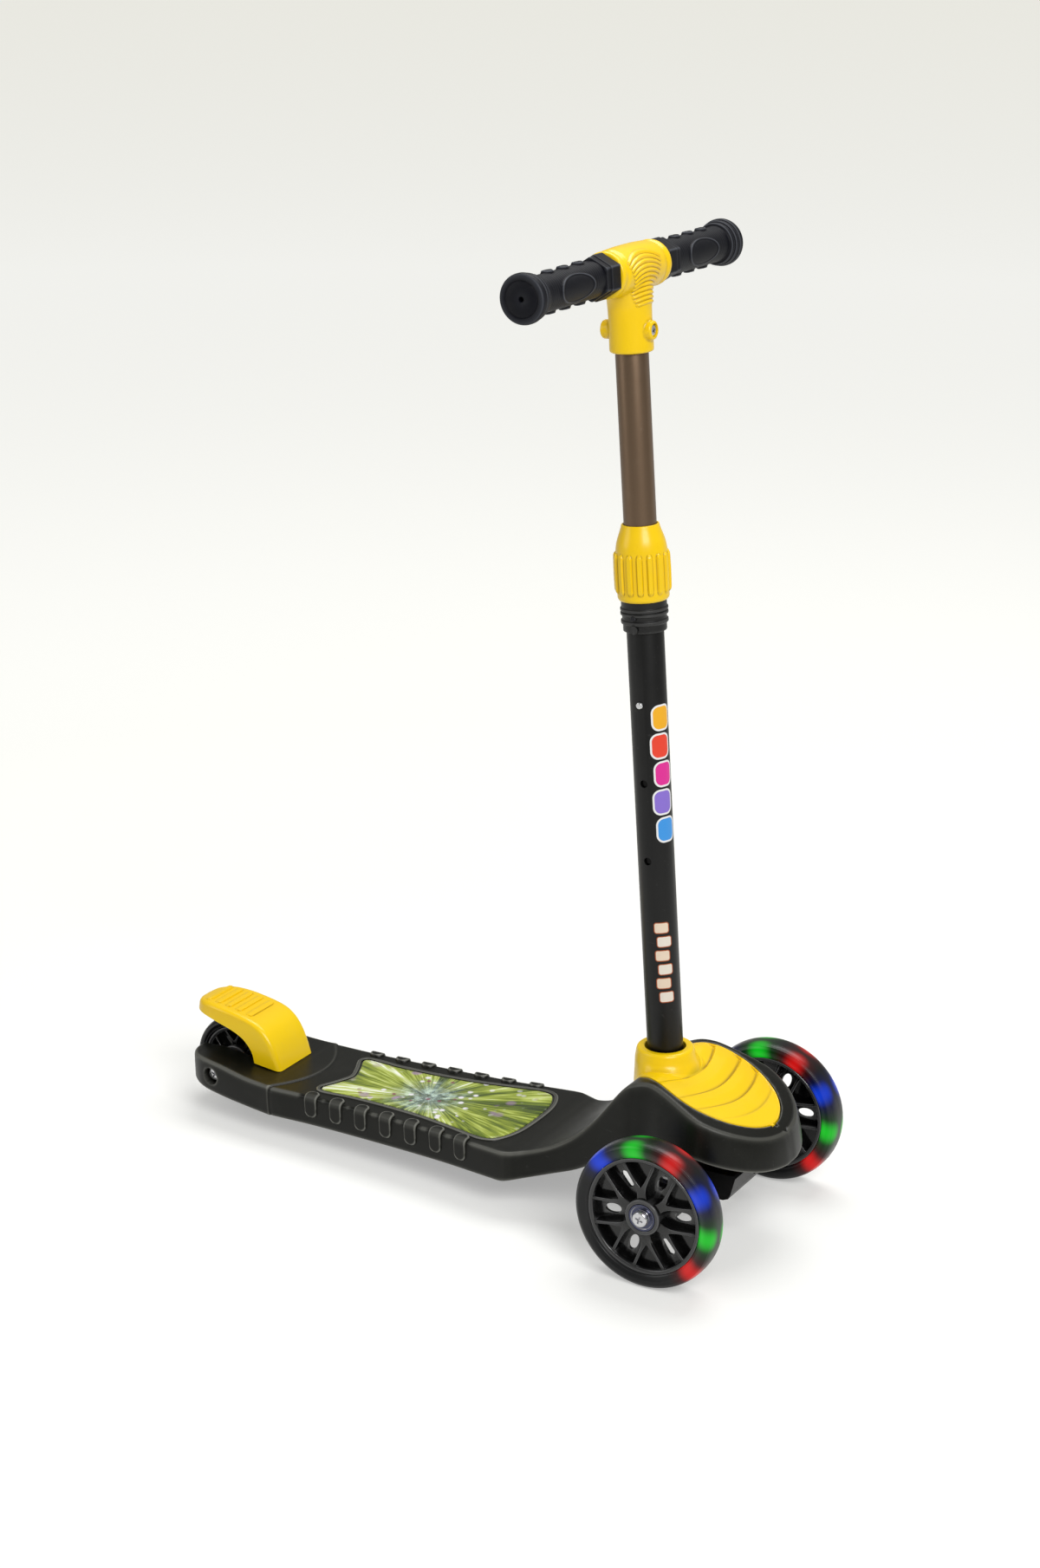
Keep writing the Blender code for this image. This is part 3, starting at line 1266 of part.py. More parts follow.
def build_column():
    place(make_knob(), COLUMN, (0, 0, LOWER_TUBE_TOP), YELLOW, 0.28, 0, "clamp_knob")
    place(make_upper_tube(), COLUMN, (0, 0, BUTTON_S), BRONZE, 0.3, 0.9, "upper_tube")
    place(make_tube_plug(), COLUMN, (0, 0, BUTTON_S), BLACK, 0.6, 0, "tube_plug")
    place(make_snap_button(), COLUMN, (0, 0, BUTTON_S), STEEL, 0.2, 1, "snap_button")
    place(make_snap_spring(), COLUMN, (0, 0, BUTTON_S), STEEL, 0.3, 1, "snap_spring")
    place(make_t_joint(), COLUMN, (0, 0, COLUMN_HEIGHT), YELLOW, 0.28, 0, "t_joint")
    place(make_handlebar(), COLUMN, (0, 0, COLUMN_HEIGHT), STEEL, 0.3, 1, "handlebar")
    for side, hand in SIDES:
        place(make_grip(side), COLUMN, (0, 0, COLUMN_HEIGHT), BLACK, 0.7, 0, f"grip_{hand}")
    at = (0, 0, T_BOLT_S)
    r = UPPER_TUBE_R + 4.1
    bolt = make_bolt(T_BOLT_R, 4.6, 3.4, r + 2.6, -r - 4.6, "X", at)
    place(bolt, COLUMN, at, STEEL, 0.2, 1, "t_bolt")
    nut = make_nut(4.7, T_BOLT_R, -r - 0.8, -r - 4.2, "X", at)
    place(nut, COLUMN, at, STEEL, 0.3, 1, "t_nut")


def build_brake():
    pin_at = (REAR_X + BRAKE_PIN_X, 0, BRAKE_PIN_Z)
    place(make_brake(), LEVEL, pin_at, YELLOW, 0.28, 0, "brake_fender")
    place(make_brake_spring(), LEVEL, pin_at, STEEL, 0.3, 1, "brake_spring")


clear_scene()
build_chassis()
build_truck()
for side, hand in SIDES:
    build_front_wheel(side, hand)
build_rear_wheel()
build_column()
build_brake()
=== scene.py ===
import json
import math
import bmesh
import bpy
import numpy as np
from mathutils import Matrix, Vector


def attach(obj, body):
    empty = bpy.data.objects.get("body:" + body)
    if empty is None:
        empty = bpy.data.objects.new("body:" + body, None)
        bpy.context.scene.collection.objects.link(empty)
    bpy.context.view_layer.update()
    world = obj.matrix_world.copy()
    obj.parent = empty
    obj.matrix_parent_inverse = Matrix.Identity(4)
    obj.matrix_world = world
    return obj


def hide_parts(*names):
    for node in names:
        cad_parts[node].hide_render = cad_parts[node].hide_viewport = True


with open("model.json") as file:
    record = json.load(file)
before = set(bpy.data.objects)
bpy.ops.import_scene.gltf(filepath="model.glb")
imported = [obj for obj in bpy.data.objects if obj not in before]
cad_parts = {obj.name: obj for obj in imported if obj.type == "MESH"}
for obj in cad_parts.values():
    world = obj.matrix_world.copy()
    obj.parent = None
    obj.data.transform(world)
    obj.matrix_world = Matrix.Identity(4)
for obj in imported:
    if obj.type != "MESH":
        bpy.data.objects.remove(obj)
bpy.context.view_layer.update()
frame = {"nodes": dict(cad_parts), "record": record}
nodes = frame["nodes"]
print("frame loaded")

# the deck is level in its own drawing and tipped back a little on its wheels
stance = {"tip": 0.0241309, "hubHeight": 60.0, "hubX": 213.353, "halfTrack": 108.6}
rearAxle = (-456.0, 0.0, 51.0)
columnPlace = {"x": -38.4, "foot": 60.0, "lean": math.radians(3.197), "tubeRadius": 14.3}


def toMetres(points):
    return points * 0.001


def toRow(points):
    # drawing millimetres to row metres: turn by tip about the front axle, then shift
    points = np.asarray(points, float)
    c, s = math.cos(stance["tip"]), math.sin(stance["tip"])
    x, y, z = points[..., 0], points[..., 1], points[..., 2] - stance["hubHeight"]
    return toMetres(np.stack([c * x - s * z + stance["hubX"], y, s * x + c * z + stance["hubHeight"]], -1))


def columnToRow(points):
    # (x forward, y, s up the tube) turned by lean about the column's foot, then to the row
    points = np.asarray(points, float)
    c, s = math.cos(columnPlace["lean"]), math.sin(columnPlace["lean"])
    x, y, up = points[..., 0], points[..., 1], points[..., 2]
    return toRow(np.stack([columnPlace["x"] + c * x - s * up, y, columnPlace["foot"] + s * x + c * up], -1))


# surfaces and meshes; lengths are in metres here
meshing = {"join": 3e-6, "sliver": 1e-6}


def gridFaces(rows, columns, wrapRows, wrapColumns):
    # quads (i, j), (i + 1, j), (i + 1, j + 1), (i, j + 1)
    i = np.arange(rows if wrapRows else rows - 1)
    j = np.arange(columns if wrapColumns else columns - 1)
    i, j = (a.ravel() for a in np.meshgrid(i, j, indexing="ij"))
    iNext, jNext = (i + 1) % rows, (j + 1) % columns
    return np.stack([i * columns + j, iNext * columns + j, iNext * columns + jNext, i * columns + jNext], 1)


def meshObject(name, points, faces):
    # joins points that meet, drops faces without area and turns every face outwards
    mesh = bpy.data.meshes.new(name)
    mesh.from_pydata(points, [], faces)
    work = bmesh.new()
    work.from_mesh(mesh)
    bmesh.ops.remove_doubles(work, verts=work.verts, dist=meshing["join"])
    bmesh.ops.dissolve_degenerate(work, dist=meshing["sliver"], edges=work.edges)
    bmesh.ops.recalc_face_normals(work, faces=work.faces)
    work.to_mesh(mesh)
    work.free()
    obj = bpy.data.objects.new(name, mesh)
    bpy.context.scene.collection.objects.link(obj)
    return obj


def surface(name, *grids):
    # each grid is (points[rows, columns, 3], rows closed, columns closed)
    points, faces, start = [], [], 0
    for grid, wrapRows, wrapColumns in grids:
        points.append(grid.reshape(-1, 3))
        faces.append(gridFaces(*grid.shape[:2], wrapRows, wrapColumns) + start)
        start += grid.shape[0] * grid.shape[1]
    return meshObject(name, np.concatenate(points), np.concatenate(faces))


def shutEnds(grid):
    # closed rings along a bar: the end rings fold flat onto their own mirror
    first, last = (0.5 * (row + row[:, ::-1]) for row in (grid[:1], grid[-1:]))
    return np.concatenate([first, grid, last])


def bar(rows):
    # rows (x, half width, low, high) make a solid along x
    x, w, low, high = np.array(rows, float).T
    ring = np.stack([(x, -w, low), (x, w, low), (x, w, high), (x, -w, high)], 0).transpose(2, 0, 1)
    return surface("bar", (toRow(shutEnds(ring)), False, True))


def prism(outline, low, high, order="XY", place=toRow):
    # a flat outline carried along the third axis, with flat ends
    n = len(outline)
    rings = np.concatenate([np.column_stack([outline, np.full(n, c)]) for c in (low, high)])
    columns = {"XY": (0, 1, 2), "XZ": (0, 2, 1), "YZ": (2, 0, 1)}[order]
    side = [(k, (k + 1) % n, n + (k + 1) % n, n + k) for k in range(n)]
    ends = [tuple(range(n)), tuple(range(n, 2 * n))]
    return meshObject("prism", place(rings[:, columns]), side + ends)


def block(x0, x1, y0, y1, z0, z1, place=toRow):
    return prism([(x0, y0), (x1, y0), (x1, y1), (x0, y1)], z0, z1, "XY", place)


def turned(profile, count=64, axis="Z", at=(0, 0, 0), phase=0.0):
    # the line (r, h) turned about the axis: r cos t, r sin t, h
    profile = np.asarray(profile, float)
    t = phase + np.arange(count) / count * math.tau
    c, s = profile[:, :1] * np.cos(t), profile[:, :1] * np.sin(t)
    h = profile[:, 1:] + 0 * t
    order = {"Z": (c, s, h), "Y": (s, h, c), "X": (h, c, s)}[axis]
    return np.stack(order, -1) + np.asarray(at, float)


def turnedPiece(name, profile, count=64, axis="Z", at=(0, 0, 0), place=toRow, phase=0.0, ring=False):
    return surface(name, (place(turned(profile, count, axis, at, phase)), ring, True))


def drill(radius, low, high, axis="Z", at=(0, 0, 0), place=toRow, count=40):
    # a round bar, turned by part of a face so that its edges keep clear of the pieces' own
    profile = [(0, low), (radius, low), (radius, high), (0, high)]
    return turnedPiece("drill", profile, count, axis, at, place, 0.37 * math.tau / count)


def spun(points, degrees):
    # x cos a - y sin a, x sin a + y cos a
    c, s = math.cos(math.radians(degrees)), math.sin(math.radians(degrees))
    x, y = points[..., 0], points[..., 1]
    return np.stack([c * x - s * y, s * x + c * y, points[..., 2]], -1)


def turnTo(points, axis):
    # the third column becomes the axis
    return points[..., {"Z": (0, 1, 2), "Y": (1, 2, 0), "X": (2, 0, 1)}[axis]]


def rounded(corners, reach, closed=False, steps=5):
    # each corner becomes a short curve (1-t)^2 a + 2t(1-t) b + t^2 c that starts and ends reach away
    corners = np.asarray(corners, float)
    n = len(corners)
    reach = np.broadcast_to(reach, (n,))
    lines = [] if closed else [corners[:1]]
    t = np.linspace(0, 1, steps).reshape((-1,) + (1,) * (corners.ndim - 1))
    for k in range(0 if closed else 1, n if closed else n - 1):
        here, ends = corners[k], []
        for other in (corners[k - 1], corners[(k + 1) % n]):
            gap = other - here
            length = np.linalg.norm(gap, axis=-1, keepdims=True)
            ends.append(here + gap * np.minimum(reach[k] / np.maximum(length, 1e-9), 0.48))
        lines.append((1 - t) ** 2 * ends[0] + 2 * t * (1 - t) * here + t * t * ends[1])
    if not closed:
        lines.append(corners[-1:])
    return np.concatenate(lines)


def walkedLength(line):
    # length walked along the first two columns up to each point
    return np.concatenate([[0], np.cumsum(np.hypot(*np.diff(line[:, :2], axis=0).T))])


def evenLine(line, count):
    # every column read at even steps along the line
    walked = walkedLength(line)
    even = np.linspace(0, walked[-1], count)
    return np.stack([np.interp(even, walked, column) for column in line.T], 1)


def finerLine(line, step, whole=math.ceil):
    # the closed line with points about a step apart; whole makes a count of length / step
    out = []
    for a, b in zip(line, np.roll(line, -1, 0)):
        parts = max(1, whole(np.hypot(*(b - a)) / step))
        out.append(a + (b - a) * np.linspace(0, 1, parts, endpoint=False)[:, None])
    return np.concatenate(out)


def curveThrough(points, count, closed=False):
    # Catmull-Rom line through the points, read evenly along its length
    p = np.asarray(points, float)
    if closed:
        p = np.vstack([p, p[:1]])
        ends = np.vstack([p[-2], p, p[1]])
    else:
        ends = np.vstack([2 * p[0] - p[1], p, 2 * p[-1] - p[-2]])
    t = np.linspace(0, 1, 24, endpoint=False)[:, None, None]
    a, b, c, d = ends[:-3], ends[1:-2], ends[2:-1], ends[3:]
    fine = 0.5 * (2 * b + (c - a) * t + (2 * a - 5 * b + 4 * c - d) * t**2 + (3 * b - a - 3 * c + d) * t**3)
    fine = np.vstack([fine.transpose(1, 0, 2).reshape(-1, p.shape[1]), p[-1:]])
    return evenLine(fine, count + 1)[:-1] if closed else evenLine(fine, count)


def ramp(x, low, high):
    # 3 t^2 - 2 t^3 between low and high
    t = np.clip((np.asarray(x, float) - low) / (high - low), 0, 1)
    return t * t * (3 - 2 * t)


def grownLine(line, distance):
    # a closed flat line moved outwards along its own normal
    along = np.roll(line, -1, 0) - np.roll(line, 1, 0)
    normal = np.stack([along[:, 1], -along[:, 0]], 1) / np.hypot(*along.T)[:, None]
    area = (line[:, 0] * np.roll(line[:, 1], -1) - line[:, 1] * np.roll(line[:, 0], -1)).sum()
    return line + math.copysign(1, area) * distance * normal


def settle(obj):
    # writes what the modifiers make into the mesh
    graph = bpy.context.evaluated_depsgraph_get()
    mesh = bpy.data.meshes.new_from_object(obj.evaluated_get(graph))
    obj.modifiers.clear()
    old, obj.data = obj.data, mesh
    bpy.data.meshes.remove(old)
    return obj


def combine(obj, operation, *others):
    # the smaller pieces join each other first, so that the large one is worked on once
    tool = others[0]
    for target, work, other in [(tool, "UNION", more) for more in others[1:]] + [(obj, operation, tool)]:
        step = target.modifiers.new(work, "BOOLEAN")
        step.operation, step.solver, step.object = work, "MANIFOLD", other
        settle(target)
        bpy.data.objects.remove(other)
    return obj


def addBevel(obj, width, segments, angle):
    step = obj.modifiers.new("softEdges", "BEVEL")
    step.width, step.segments = toMetres(width), segments
    step.limit_method, step.angle_limit = "ANGLE", math.radians(angle)
    return obj


def readItems(items, kind, width, whole=False):
    # one row of numbers for each vertex, edge, corner or face
    values = np.empty(len(items) * width, np.int32 if whole else float)
    items.foreach_get(kind, values)
    return values.reshape(-1, width)


# turn per mm that counts as a full edge, least distance, limit, rounds of blur and gain after them
edgeMark = {"full": 0.45, "least": 0.6, "limit": 1.6, "rounds": 2, "gain": 1.8}


def markEdges(mesh):
    # "edge" is + on outer edges and - in creases: turn between two faces / distance between their middles
    total = readItems(mesh.polygons, "loop_total", 1, True)[:, 0]
    edge = readItems(mesh.loops, "edge_index", 1, True)[:, 0]
    normal, middle = readItems(mesh.polygons, "normal", 3), readItems(mesh.polygons, "center", 3) * 1000
    face = np.repeat(np.arange(len(total)), total)
    order = np.argsort(edge, kind="stable")
    edge, face = edge[order], face[order]
    pair = np.flatnonzero(edge[1:] == edge[:-1])
    a, b = face[pair], face[pair + 1]
    across = middle[b] - middle[a]
    distance = np.maximum(np.linalg.norm(across, axis=1), edgeMark["least"])
    turn = -np.sign((across * normal[a]).sum(1)) * np.linalg.norm(normal[a] - normal[b], axis=1) / distance
    turn = np.clip(turn / edgeMark["full"], -edgeMark["limit"], edgeMark["limit"])
    first, second = readItems(mesh.edges, "vertices", 2, True)[edge[pair]].T
    value, count = np.zeros(len(mesh.vertices)), np.zeros(len(mesh.vertices))
    for corner in (first, second):
        np.add.at(value, corner, turn)
        np.add.at(count, corner, 1)
    value /= np.maximum(count, 1)
    for _ in range(edgeMark["rounds"]):
        near = value.copy()
        np.add.at(near, first, value[second])
        np.add.at(near, second, value[first])
        value = near / (count + 1)
    made = mesh.attributes.new("edge", "FLOAT", "POINT")
    made.data.foreach_set("value", np.clip(value * edgeMark["gain"], -1, 1))


def finishPiece(obj, material, body, replaced, sharp=38):
    markEdges(obj.data)
    obj.data.shade_smooth()
    obj.data.set_sharp_from_angle(angle=math.radians(sharp))
    obj.data.materials.clear()
    obj.data.materials.append(material)
    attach(obj, body)
    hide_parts(*replaced)
    return obj


# materials
finish = {
    "yellow": (0.90, 0.60, 0.0008),
    # deeper orange, for the random drift and for the painted shade on the fender's top
    "yellowDeepAndShade": (0.82, 0.46, 0.0004),
    # painted shade for the yellow pieces' creases
    "yellowCreaseShade": (0.36, 0.21, 0.001),
    # painted shade for the cover's creases
    "coverCreaseShade": (0.40, 0.29, 0.001),
    "deckBlack": (0.0036, 0.0038, 0.0022),
    "glossBlack": (0.003, 0.003, 0.0032),
    "tubeBlack": (0.0028, 0.0028, 0.003),
    "bronze": (0.16, 0.105, 0.066),
    # painted shade inside the lower tube
    "insideShadeBlack": (0.002, 0.002, 0.002),
    "rubber": (0.0020, 0.0023, 0.0050),
    "steel": (0.62, 0.62, 0.64),
    "steelDark": (0.03, 0.03, 0.034),
    "shield": (0.07, 0.075, 0.12),
    "smoke": (0.0042, 0.0044, 0.0052),
    "dust": (0.5, 0.48, 0.43),
    "scuff": (0.3, 0.3, 0.29),
}

# scales of the noises and the values between which each one sets in; last, the power that narrows the painted
# edge highlight and crease shade
wearAndEdgeLight = {
    "glossScale": 28.0, "bump": 0.6, "dustScale": 35.0, "dust": (0.5, 0.78),
    "scuffScale": (60, 420, 300), "scuffs": (0.68, 0.76), "edgeLightPower": 1.6,
}


def addNode(tree, kind, inputs=None, **settings):
    # a node with its settings; each input is linked from a socket or set to a value
    made = tree.nodes.new("ShaderNode" + kind)
    for key, value in settings.items():
        setattr(made, key, value)
    for key, value in (inputs or {}).items():
        if isinstance(value, bpy.types.NodeSocket):
            tree.links.new(value, made.inputs[key])
        else:
            made.inputs[key].default_value = value
    return made


def maths(tree, operation, *values, clamp=False):
    return addNode(tree, "Math", dict(enumerate(values)), operation=operation, use_clamp=clamp).outputs[0]


def product(tree, first, *others):
    for other in others:
        first = maths(tree, "MULTIPLY", first, other)
    return first


def spanned(tree, value, low, high, toLow=0.0, toHigh=1.0, soft=False):
    inputs = {"Value": value, "From Min": low, "From Max": high, "To Min": toLow, "To Max": toHigh}
    kind = "SMOOTHSTEP" if soft else "LINEAR"
    return addNode(tree, "MapRange", inputs, interpolation_type=kind).outputs["Result"]


def mixed(tree, share, first, second, blend="MIX"):
    # second may be a plain tone
    second = (*second, 1) if isinstance(second, tuple) else second
    inputs = {0: share, 6: first, 7: second}
    return addNode(tree, "Mix", inputs, data_type="RGBA", blend_type=blend).outputs[2]


def noise(tree, vector, scale, detail=2.0, roughness=0.5):
    inputs = {"Vector": vector, "Scale": scale, "Detail": detail, "Roughness": roughness}
    return addNode(tree, "TexNoise", inputs).outputs["Fac"]


def toneRamp(tree, value, stops):
    # a colour ramp; each stop is (place, tone)
    made = addNode(tree, "ValToRGB", {"Fac": value})
    elements = made.color_ramp.elements
    for place, tone in stops[1:-1]:
        elements.new(place).color = (*tone, 1)
    for element, (place, tone) in ((elements[0], stops[0]), (elements[-1], stops[-1])):
        element.position, element.color = place, (*tone, 1)
    return made.outputs[0]


def lengthOf(tree, *parts):
    # length of a vector given by two or three numbers
    joined = addNode(tree, "CombineXYZ", dict(enumerate(parts))).outputs[0]
    return addNode(tree, "VectorMath", {0: joined}, operation="LENGTH").outputs["Value"]


def objectCoords(tree):
    return tree.nodes.new("ShaderNodeTexCoord").outputs["Object"]


def newGroup(name, inputs, outputs):
    # inputs are (label, socket kind, usual value), outputs are (label, socket kind)
    group = bpy.data.node_groups.new(name, "ShaderNodeTree")
    for label, kind, value in inputs:
        socket = group.interface.new_socket(name=label, in_out="INPUT", socket_type="NodeSocket" + kind)
        if value is not None:
            socket.default_value = value
    for label, kind in outputs:
        group.interface.new_socket(name=label, in_out="OUTPUT", socket_type="NodeSocket" + kind)
    source = group.nodes.new("NodeGroupInput").outputs
    target = group.nodes.new("NodeGroupOutput").inputs
    return group, source, target


def makeGrainGroup():
    # moulded grain: fine noise raises the surface, slow noise varies the gloss
    group, source, target = newGroup(
        "mouldedGrain",
        [("Vector", "Vector", None), ("Roughness", "Float", 0.4), ("Vary", "Float", 0.1),
         ("Grain Scale", "Float", 1500.0), ("Grain Height", "Float", 0.00005)],
        [("Roughness", "Float"), ("Normal", "Vector")],
    )
    slow = noise(group, source["Vector"], wearAndEdgeLight["glossScale"], 3.0)
    swing = maths(group, "MULTIPLY", maths(group, "SUBTRACT", slow, 0.5), source["Vary"])
    group.links.new(maths(group, "ADD", source["Roughness"], swing, clamp=True), target["Roughness"])
    fine = noise(group, source["Vector"], source["Grain Scale"], 1.0)
    inputs = {"Height": fine, "Distance": source["Grain Height"], "Strength": wearAndEdgeLight["bump"]}
    relief = addNode(group, "Bump", inputs)
    group.links.new(relief.outputs["Normal"], target["Normal"])
    return group


def makeUseGroup():
    # light use: pale dust in slow patches and short scuffs that dull the colour
    group, source, target = newGroup(
        "lightUse",
        [("Vector", "Vector", None), ("Color", "Color", None), ("Dust", "Float", 0.03),
         ("Scuff", "Float", 0.1)],
        [("Color", "Color"), ("Dullness", "Float")],
    )
    patches = spanned(group, noise(group, source["Vector"], wearAndEdgeLight["dustScale"], 5.0, 0.65), *wearAndEdgeLight["dust"])
    dusty = maths(group, "MULTIPLY", patches, source["Dust"])
    stretched = addNode(group, "Mapping", {"Vector": source["Vector"], "Scale": wearAndEdgeLight["scuffScale"]})
    short = spanned(group, noise(group, stretched.outputs[0], 1.0, 2.0), *wearAndEdgeLight["scuffs"])
    scuffed = maths(group, "MULTIPLY", short, source["Scuff"])
    colour = mixed(group, dusty, source["Color"], finish["dust"])
    group.links.new(mixed(group, scuffed, colour, finish["scuff"]), target["Color"])
    group.links.new(maths(group, "ADD", dusty, scuffed), target["Dullness"])
    return group


def makeEdgeLightGroup():
    # lighter painted highlight on outer edges and deeper coloured painted shade in creases
    group, source, target = newGroup(
        "paintedEdgeLight",
        [("Color", "Color", None), ("Edge", "Float", 0.0),
         ("Edge Color", "Color", None), ("Edge Share", "Float", 0.0),
         ("Crease Color", "Color", None), ("Crease Share", "Float", 0.0)],
        [("Color", "Color")],
    )
    colour = source["Color"]
    # painted highlight where the edge mark is above 0, painted shade where it is below 0
    for label, sign in (("Edge", 1.0), ("Crease", -1.0)):
        way = maths(group, "MULTIPLY", source["Edge"], sign, clamp=True)
        way = maths(group, "POWER", way, wearAndEdgeLight["edgeLightPower"])
        share = maths(group, "MULTIPLY", way, source[label + " Share"])
        colour = mixed(group, share, colour, source[label + " Color"])
    group.links.new(colour, target["Color"])
    return group


grainGroup, useGroup, edgeLightGroup = makeGrainGroup(), makeUseGroup(), makeEdgeLightGroup()


def newMaterial(name, colour, roughness, metallic=0.0, vary=0.1, grain=(1500, 0.00003), dust=0.02, scuff=0.04,
                paint=None, edge=None, creaseShade=None, **inputs):
    # paint(tree, coords, colour) may return another colour before the painted edge highlight, the painted
    # crease shade, dust and scuffs go on;
    # the painted edge highlight and the painted crease shade are each given as (tone, share)
    material = bpy.data.materials.new(name)
    material.use_nodes = True
    tree = material.node_tree
    shader = tree.nodes["Principled BSDF"]
    coords = objectCoords(tree)
    base = paint(tree, coords, (*colour, 1.0)) if paint else (*colour, 1.0)
    # painted highlight on outer edges and painted shade in creases, from the edge mark
    if edge or creaseShade:
        values = {"Color": base, "Edge": addNode(tree, "Attribute", attribute_name="edge").outputs["Fac"]}
        for label, given in (("Edge", edge), ("Crease", creaseShade)):
            tone, share = given or ((0, 0, 0), 0.0)
            values.update({label + " Color": (*tone, 1.0), label + " Share": share})
        base = addNode(tree, "Group", values, node_tree=edgeLightGroup).outputs["Color"]
    values = {"Vector": coords, "Color": base, "Dust": dust, "Scuff": scuff}
    used = addNode(tree, "Group", values, node_tree=useGroup).outputs
    dull = maths(tree, "ADD", used["Dullness"], roughness)
    scale, height = grain
    values = {"Vector": coords, "Roughness": dull, "Vary": vary, "Grain Scale": scale, "Grain Height": height}
    moulded = addNode(tree, "Group", values, node_tree=grainGroup).outputs
    tree.links.new(used["Color"], shader.inputs["Base Color"])
    tree.links.new(moulded["Roughness"], shader.inputs["Roughness"])
    tree.links.new(moulded["Normal"], shader.inputs["Normal"])
    shader.inputs["Metallic"].default_value = metallic
    for key, value in inputs.items():
        shader.inputs[key.replace("_", " ")].default_value = value
    return material


def turnedCoords(tree, coords, matrix):
    # object coordinates seen from the frame of matrix, in millimetres
    back = matrix.inverted()
    rotation = back.to_euler("XYZ")
    placed = addNode(tree, "Mapping", {"Vector": coords, "Location": back.translation, "Rotation": rotation})
    scaled = addNode(tree, "VectorMath", {0: placed.outputs[0], "Scale": 1000.0}, operation="SCALE")
    return addNode(tree, "SeparateXYZ", {0: scaled.outputs[0]}).outputs


def drawingMatrix(x, y, z):
    # frame that lies level with the drawing at a point of it
    place = Matrix.Translation(Vector(toRow((x, y, z))))
    return place @ Matrix.Rotation(-stance["tip"], 4, "Y")


def columnMatrix(facing):
    # frame at the column's foot, up the tube, whose x looks out at an angle round it
    place = Matrix.Translation(Vector(columnToRow((0, 0, 0))))
    lean = Matrix.Rotation(-stance["tip"] - columnPlace["lean"], 4, "Y")
    return place @ lean @ Matrix.Rotation(math.radians(facing), 4, "Z")


panelTones = {
    "middle": (-262, -6, 57.6), "share": 0.8, "outwards": 0.0014,
    # noises of the broad and the thin rays with their weights, and of the cloud with its reach in mm
    "rayNoises": (((4.5, 2.0), 0.62), ((22.0, 2.0, 0.6), 0.42)),
    "cloudNoise": (95.0, 5.0, 0.7), "cloudReach": (4.0, 46.0),
    # rim of a bead, noise that picks them, and how they thin out over the reach
    "beadRim": 0.6, "pickScale": 0.31, "picked": (0.50, 0.54), "thinning": (40.0, 90.0, 1.0, 0.25),
    # stops of the rays and of the cloud over their middle
    "rays": ((0.36, (0.03, 0.05, 0.008)), (0.45, (0.11, 0.16, 0.012)), (0.51, (0.26, 0.32, 0.03)),
             (0.58, (0.50, 0.58, 0.13)), (0.66, (0.90, 0.93, 0.78))),
    "cloud": ((0.38, (0.03, 0.05, 0.045)), (0.5, (0.16, 0.22, 0.26)), (0.62, (0.62, 0.80, 0.74))),
    # scale, size, tone and share of each kind of bead
    "beads": ((62.0, 0.36, (0.36, 0.22, 0.40), 0.85), (110.0, 0.32, (0.85, 0.82, 0.88), 0.9),
              (90.0, 0.22, (0.20, 0.03, 0.08), 0.85)),
}


def panelPaint(tree, coords, colour):
    # rays from one point, greens between pale yellows, over a cloudy middle with violet beads
    look = panelTones
    x, y, _ = turnedCoords(tree, coords, drawingMatrix(*look["middle"]))
    angle, reach = maths(tree, "ARCTAN2", y, x), lengthOf(tree, x, y)
    parts = [maths(tree, "COSINE", angle), maths(tree, "SINE", angle)]
    parts.append(maths(tree, "MULTIPLY", reach, look["outwards"]))
    ray = addNode(tree, "CombineXYZ", dict(enumerate(parts))).outputs[0]
    broad, thin = (
        maths(tree, "MULTIPLY", noise(tree, ray, *settings), weight) for settings, weight in look["rayNoises"]
    )
    rays = maths(tree, "ADD", broad, thin)
    middle = spanned(tree, reach, *look["cloudReach"], 1.0, 0.0, soft=True)
    cloud = toneRamp(tree, noise(tree, coords, *look["cloudNoise"]), look["cloud"])
    share = maths(tree, "MULTIPLY", middle, look["share"])
    base = mixed(tree, share, toneRamp(tree, rays, look["rays"]), cloud)
    for scale, size, tone, share in look["beads"]:
        beads = addNode(tree, "TexVoronoi", {"Vector": coords, "Scale": scale, "Randomness": 1.0})
        spot = spanned(tree, beads.outputs["Distance"], size * look["beadRim"], size, 1.0, 0.0)
        chosen = spanned(tree, noise(tree, coords, scale * look["pickScale"], 1.0), *look["picked"])
        near = spanned(tree, reach, *look["thinning"])
        base = mixed(tree, product(tree, spot, chosen, near, share), base, tone)
    return base


# facing in degrees, lengths in mm up the tube and round it; every second tile stands sway to the other side
tileEdge = {"sway": 0.9, "blur": 0.1}
paleTiles = ((0.80, 0.74, 0.66), (0.80, 0.66, 0.52))
brightTiles = (
    (0.05, 0.30, 0.75), (0.25, 0.16, 0.62), (0.72, 0.03, 0.30), (0.78, 0.06, 0.03), (0.85, 0.42, 0.02),
)
tubePrint = (
    {"facing": -25, "low": 261.6, "high": 368.4, "half": 7.4, "tall": 17.6, "corner": 5.0, "border": 1.5,
     "edge": (0.80, 0.80, 0.80), "tones": brightTiles},
    {"facing": -52, "low": 130.0, "high": 195.0, "half": 5.4, "tall": 7.8, "corner": 1.6, "border": 0.7,
     "edge": (0.42, 0.10, 0.03), "tones": paleTiles * 3},
)


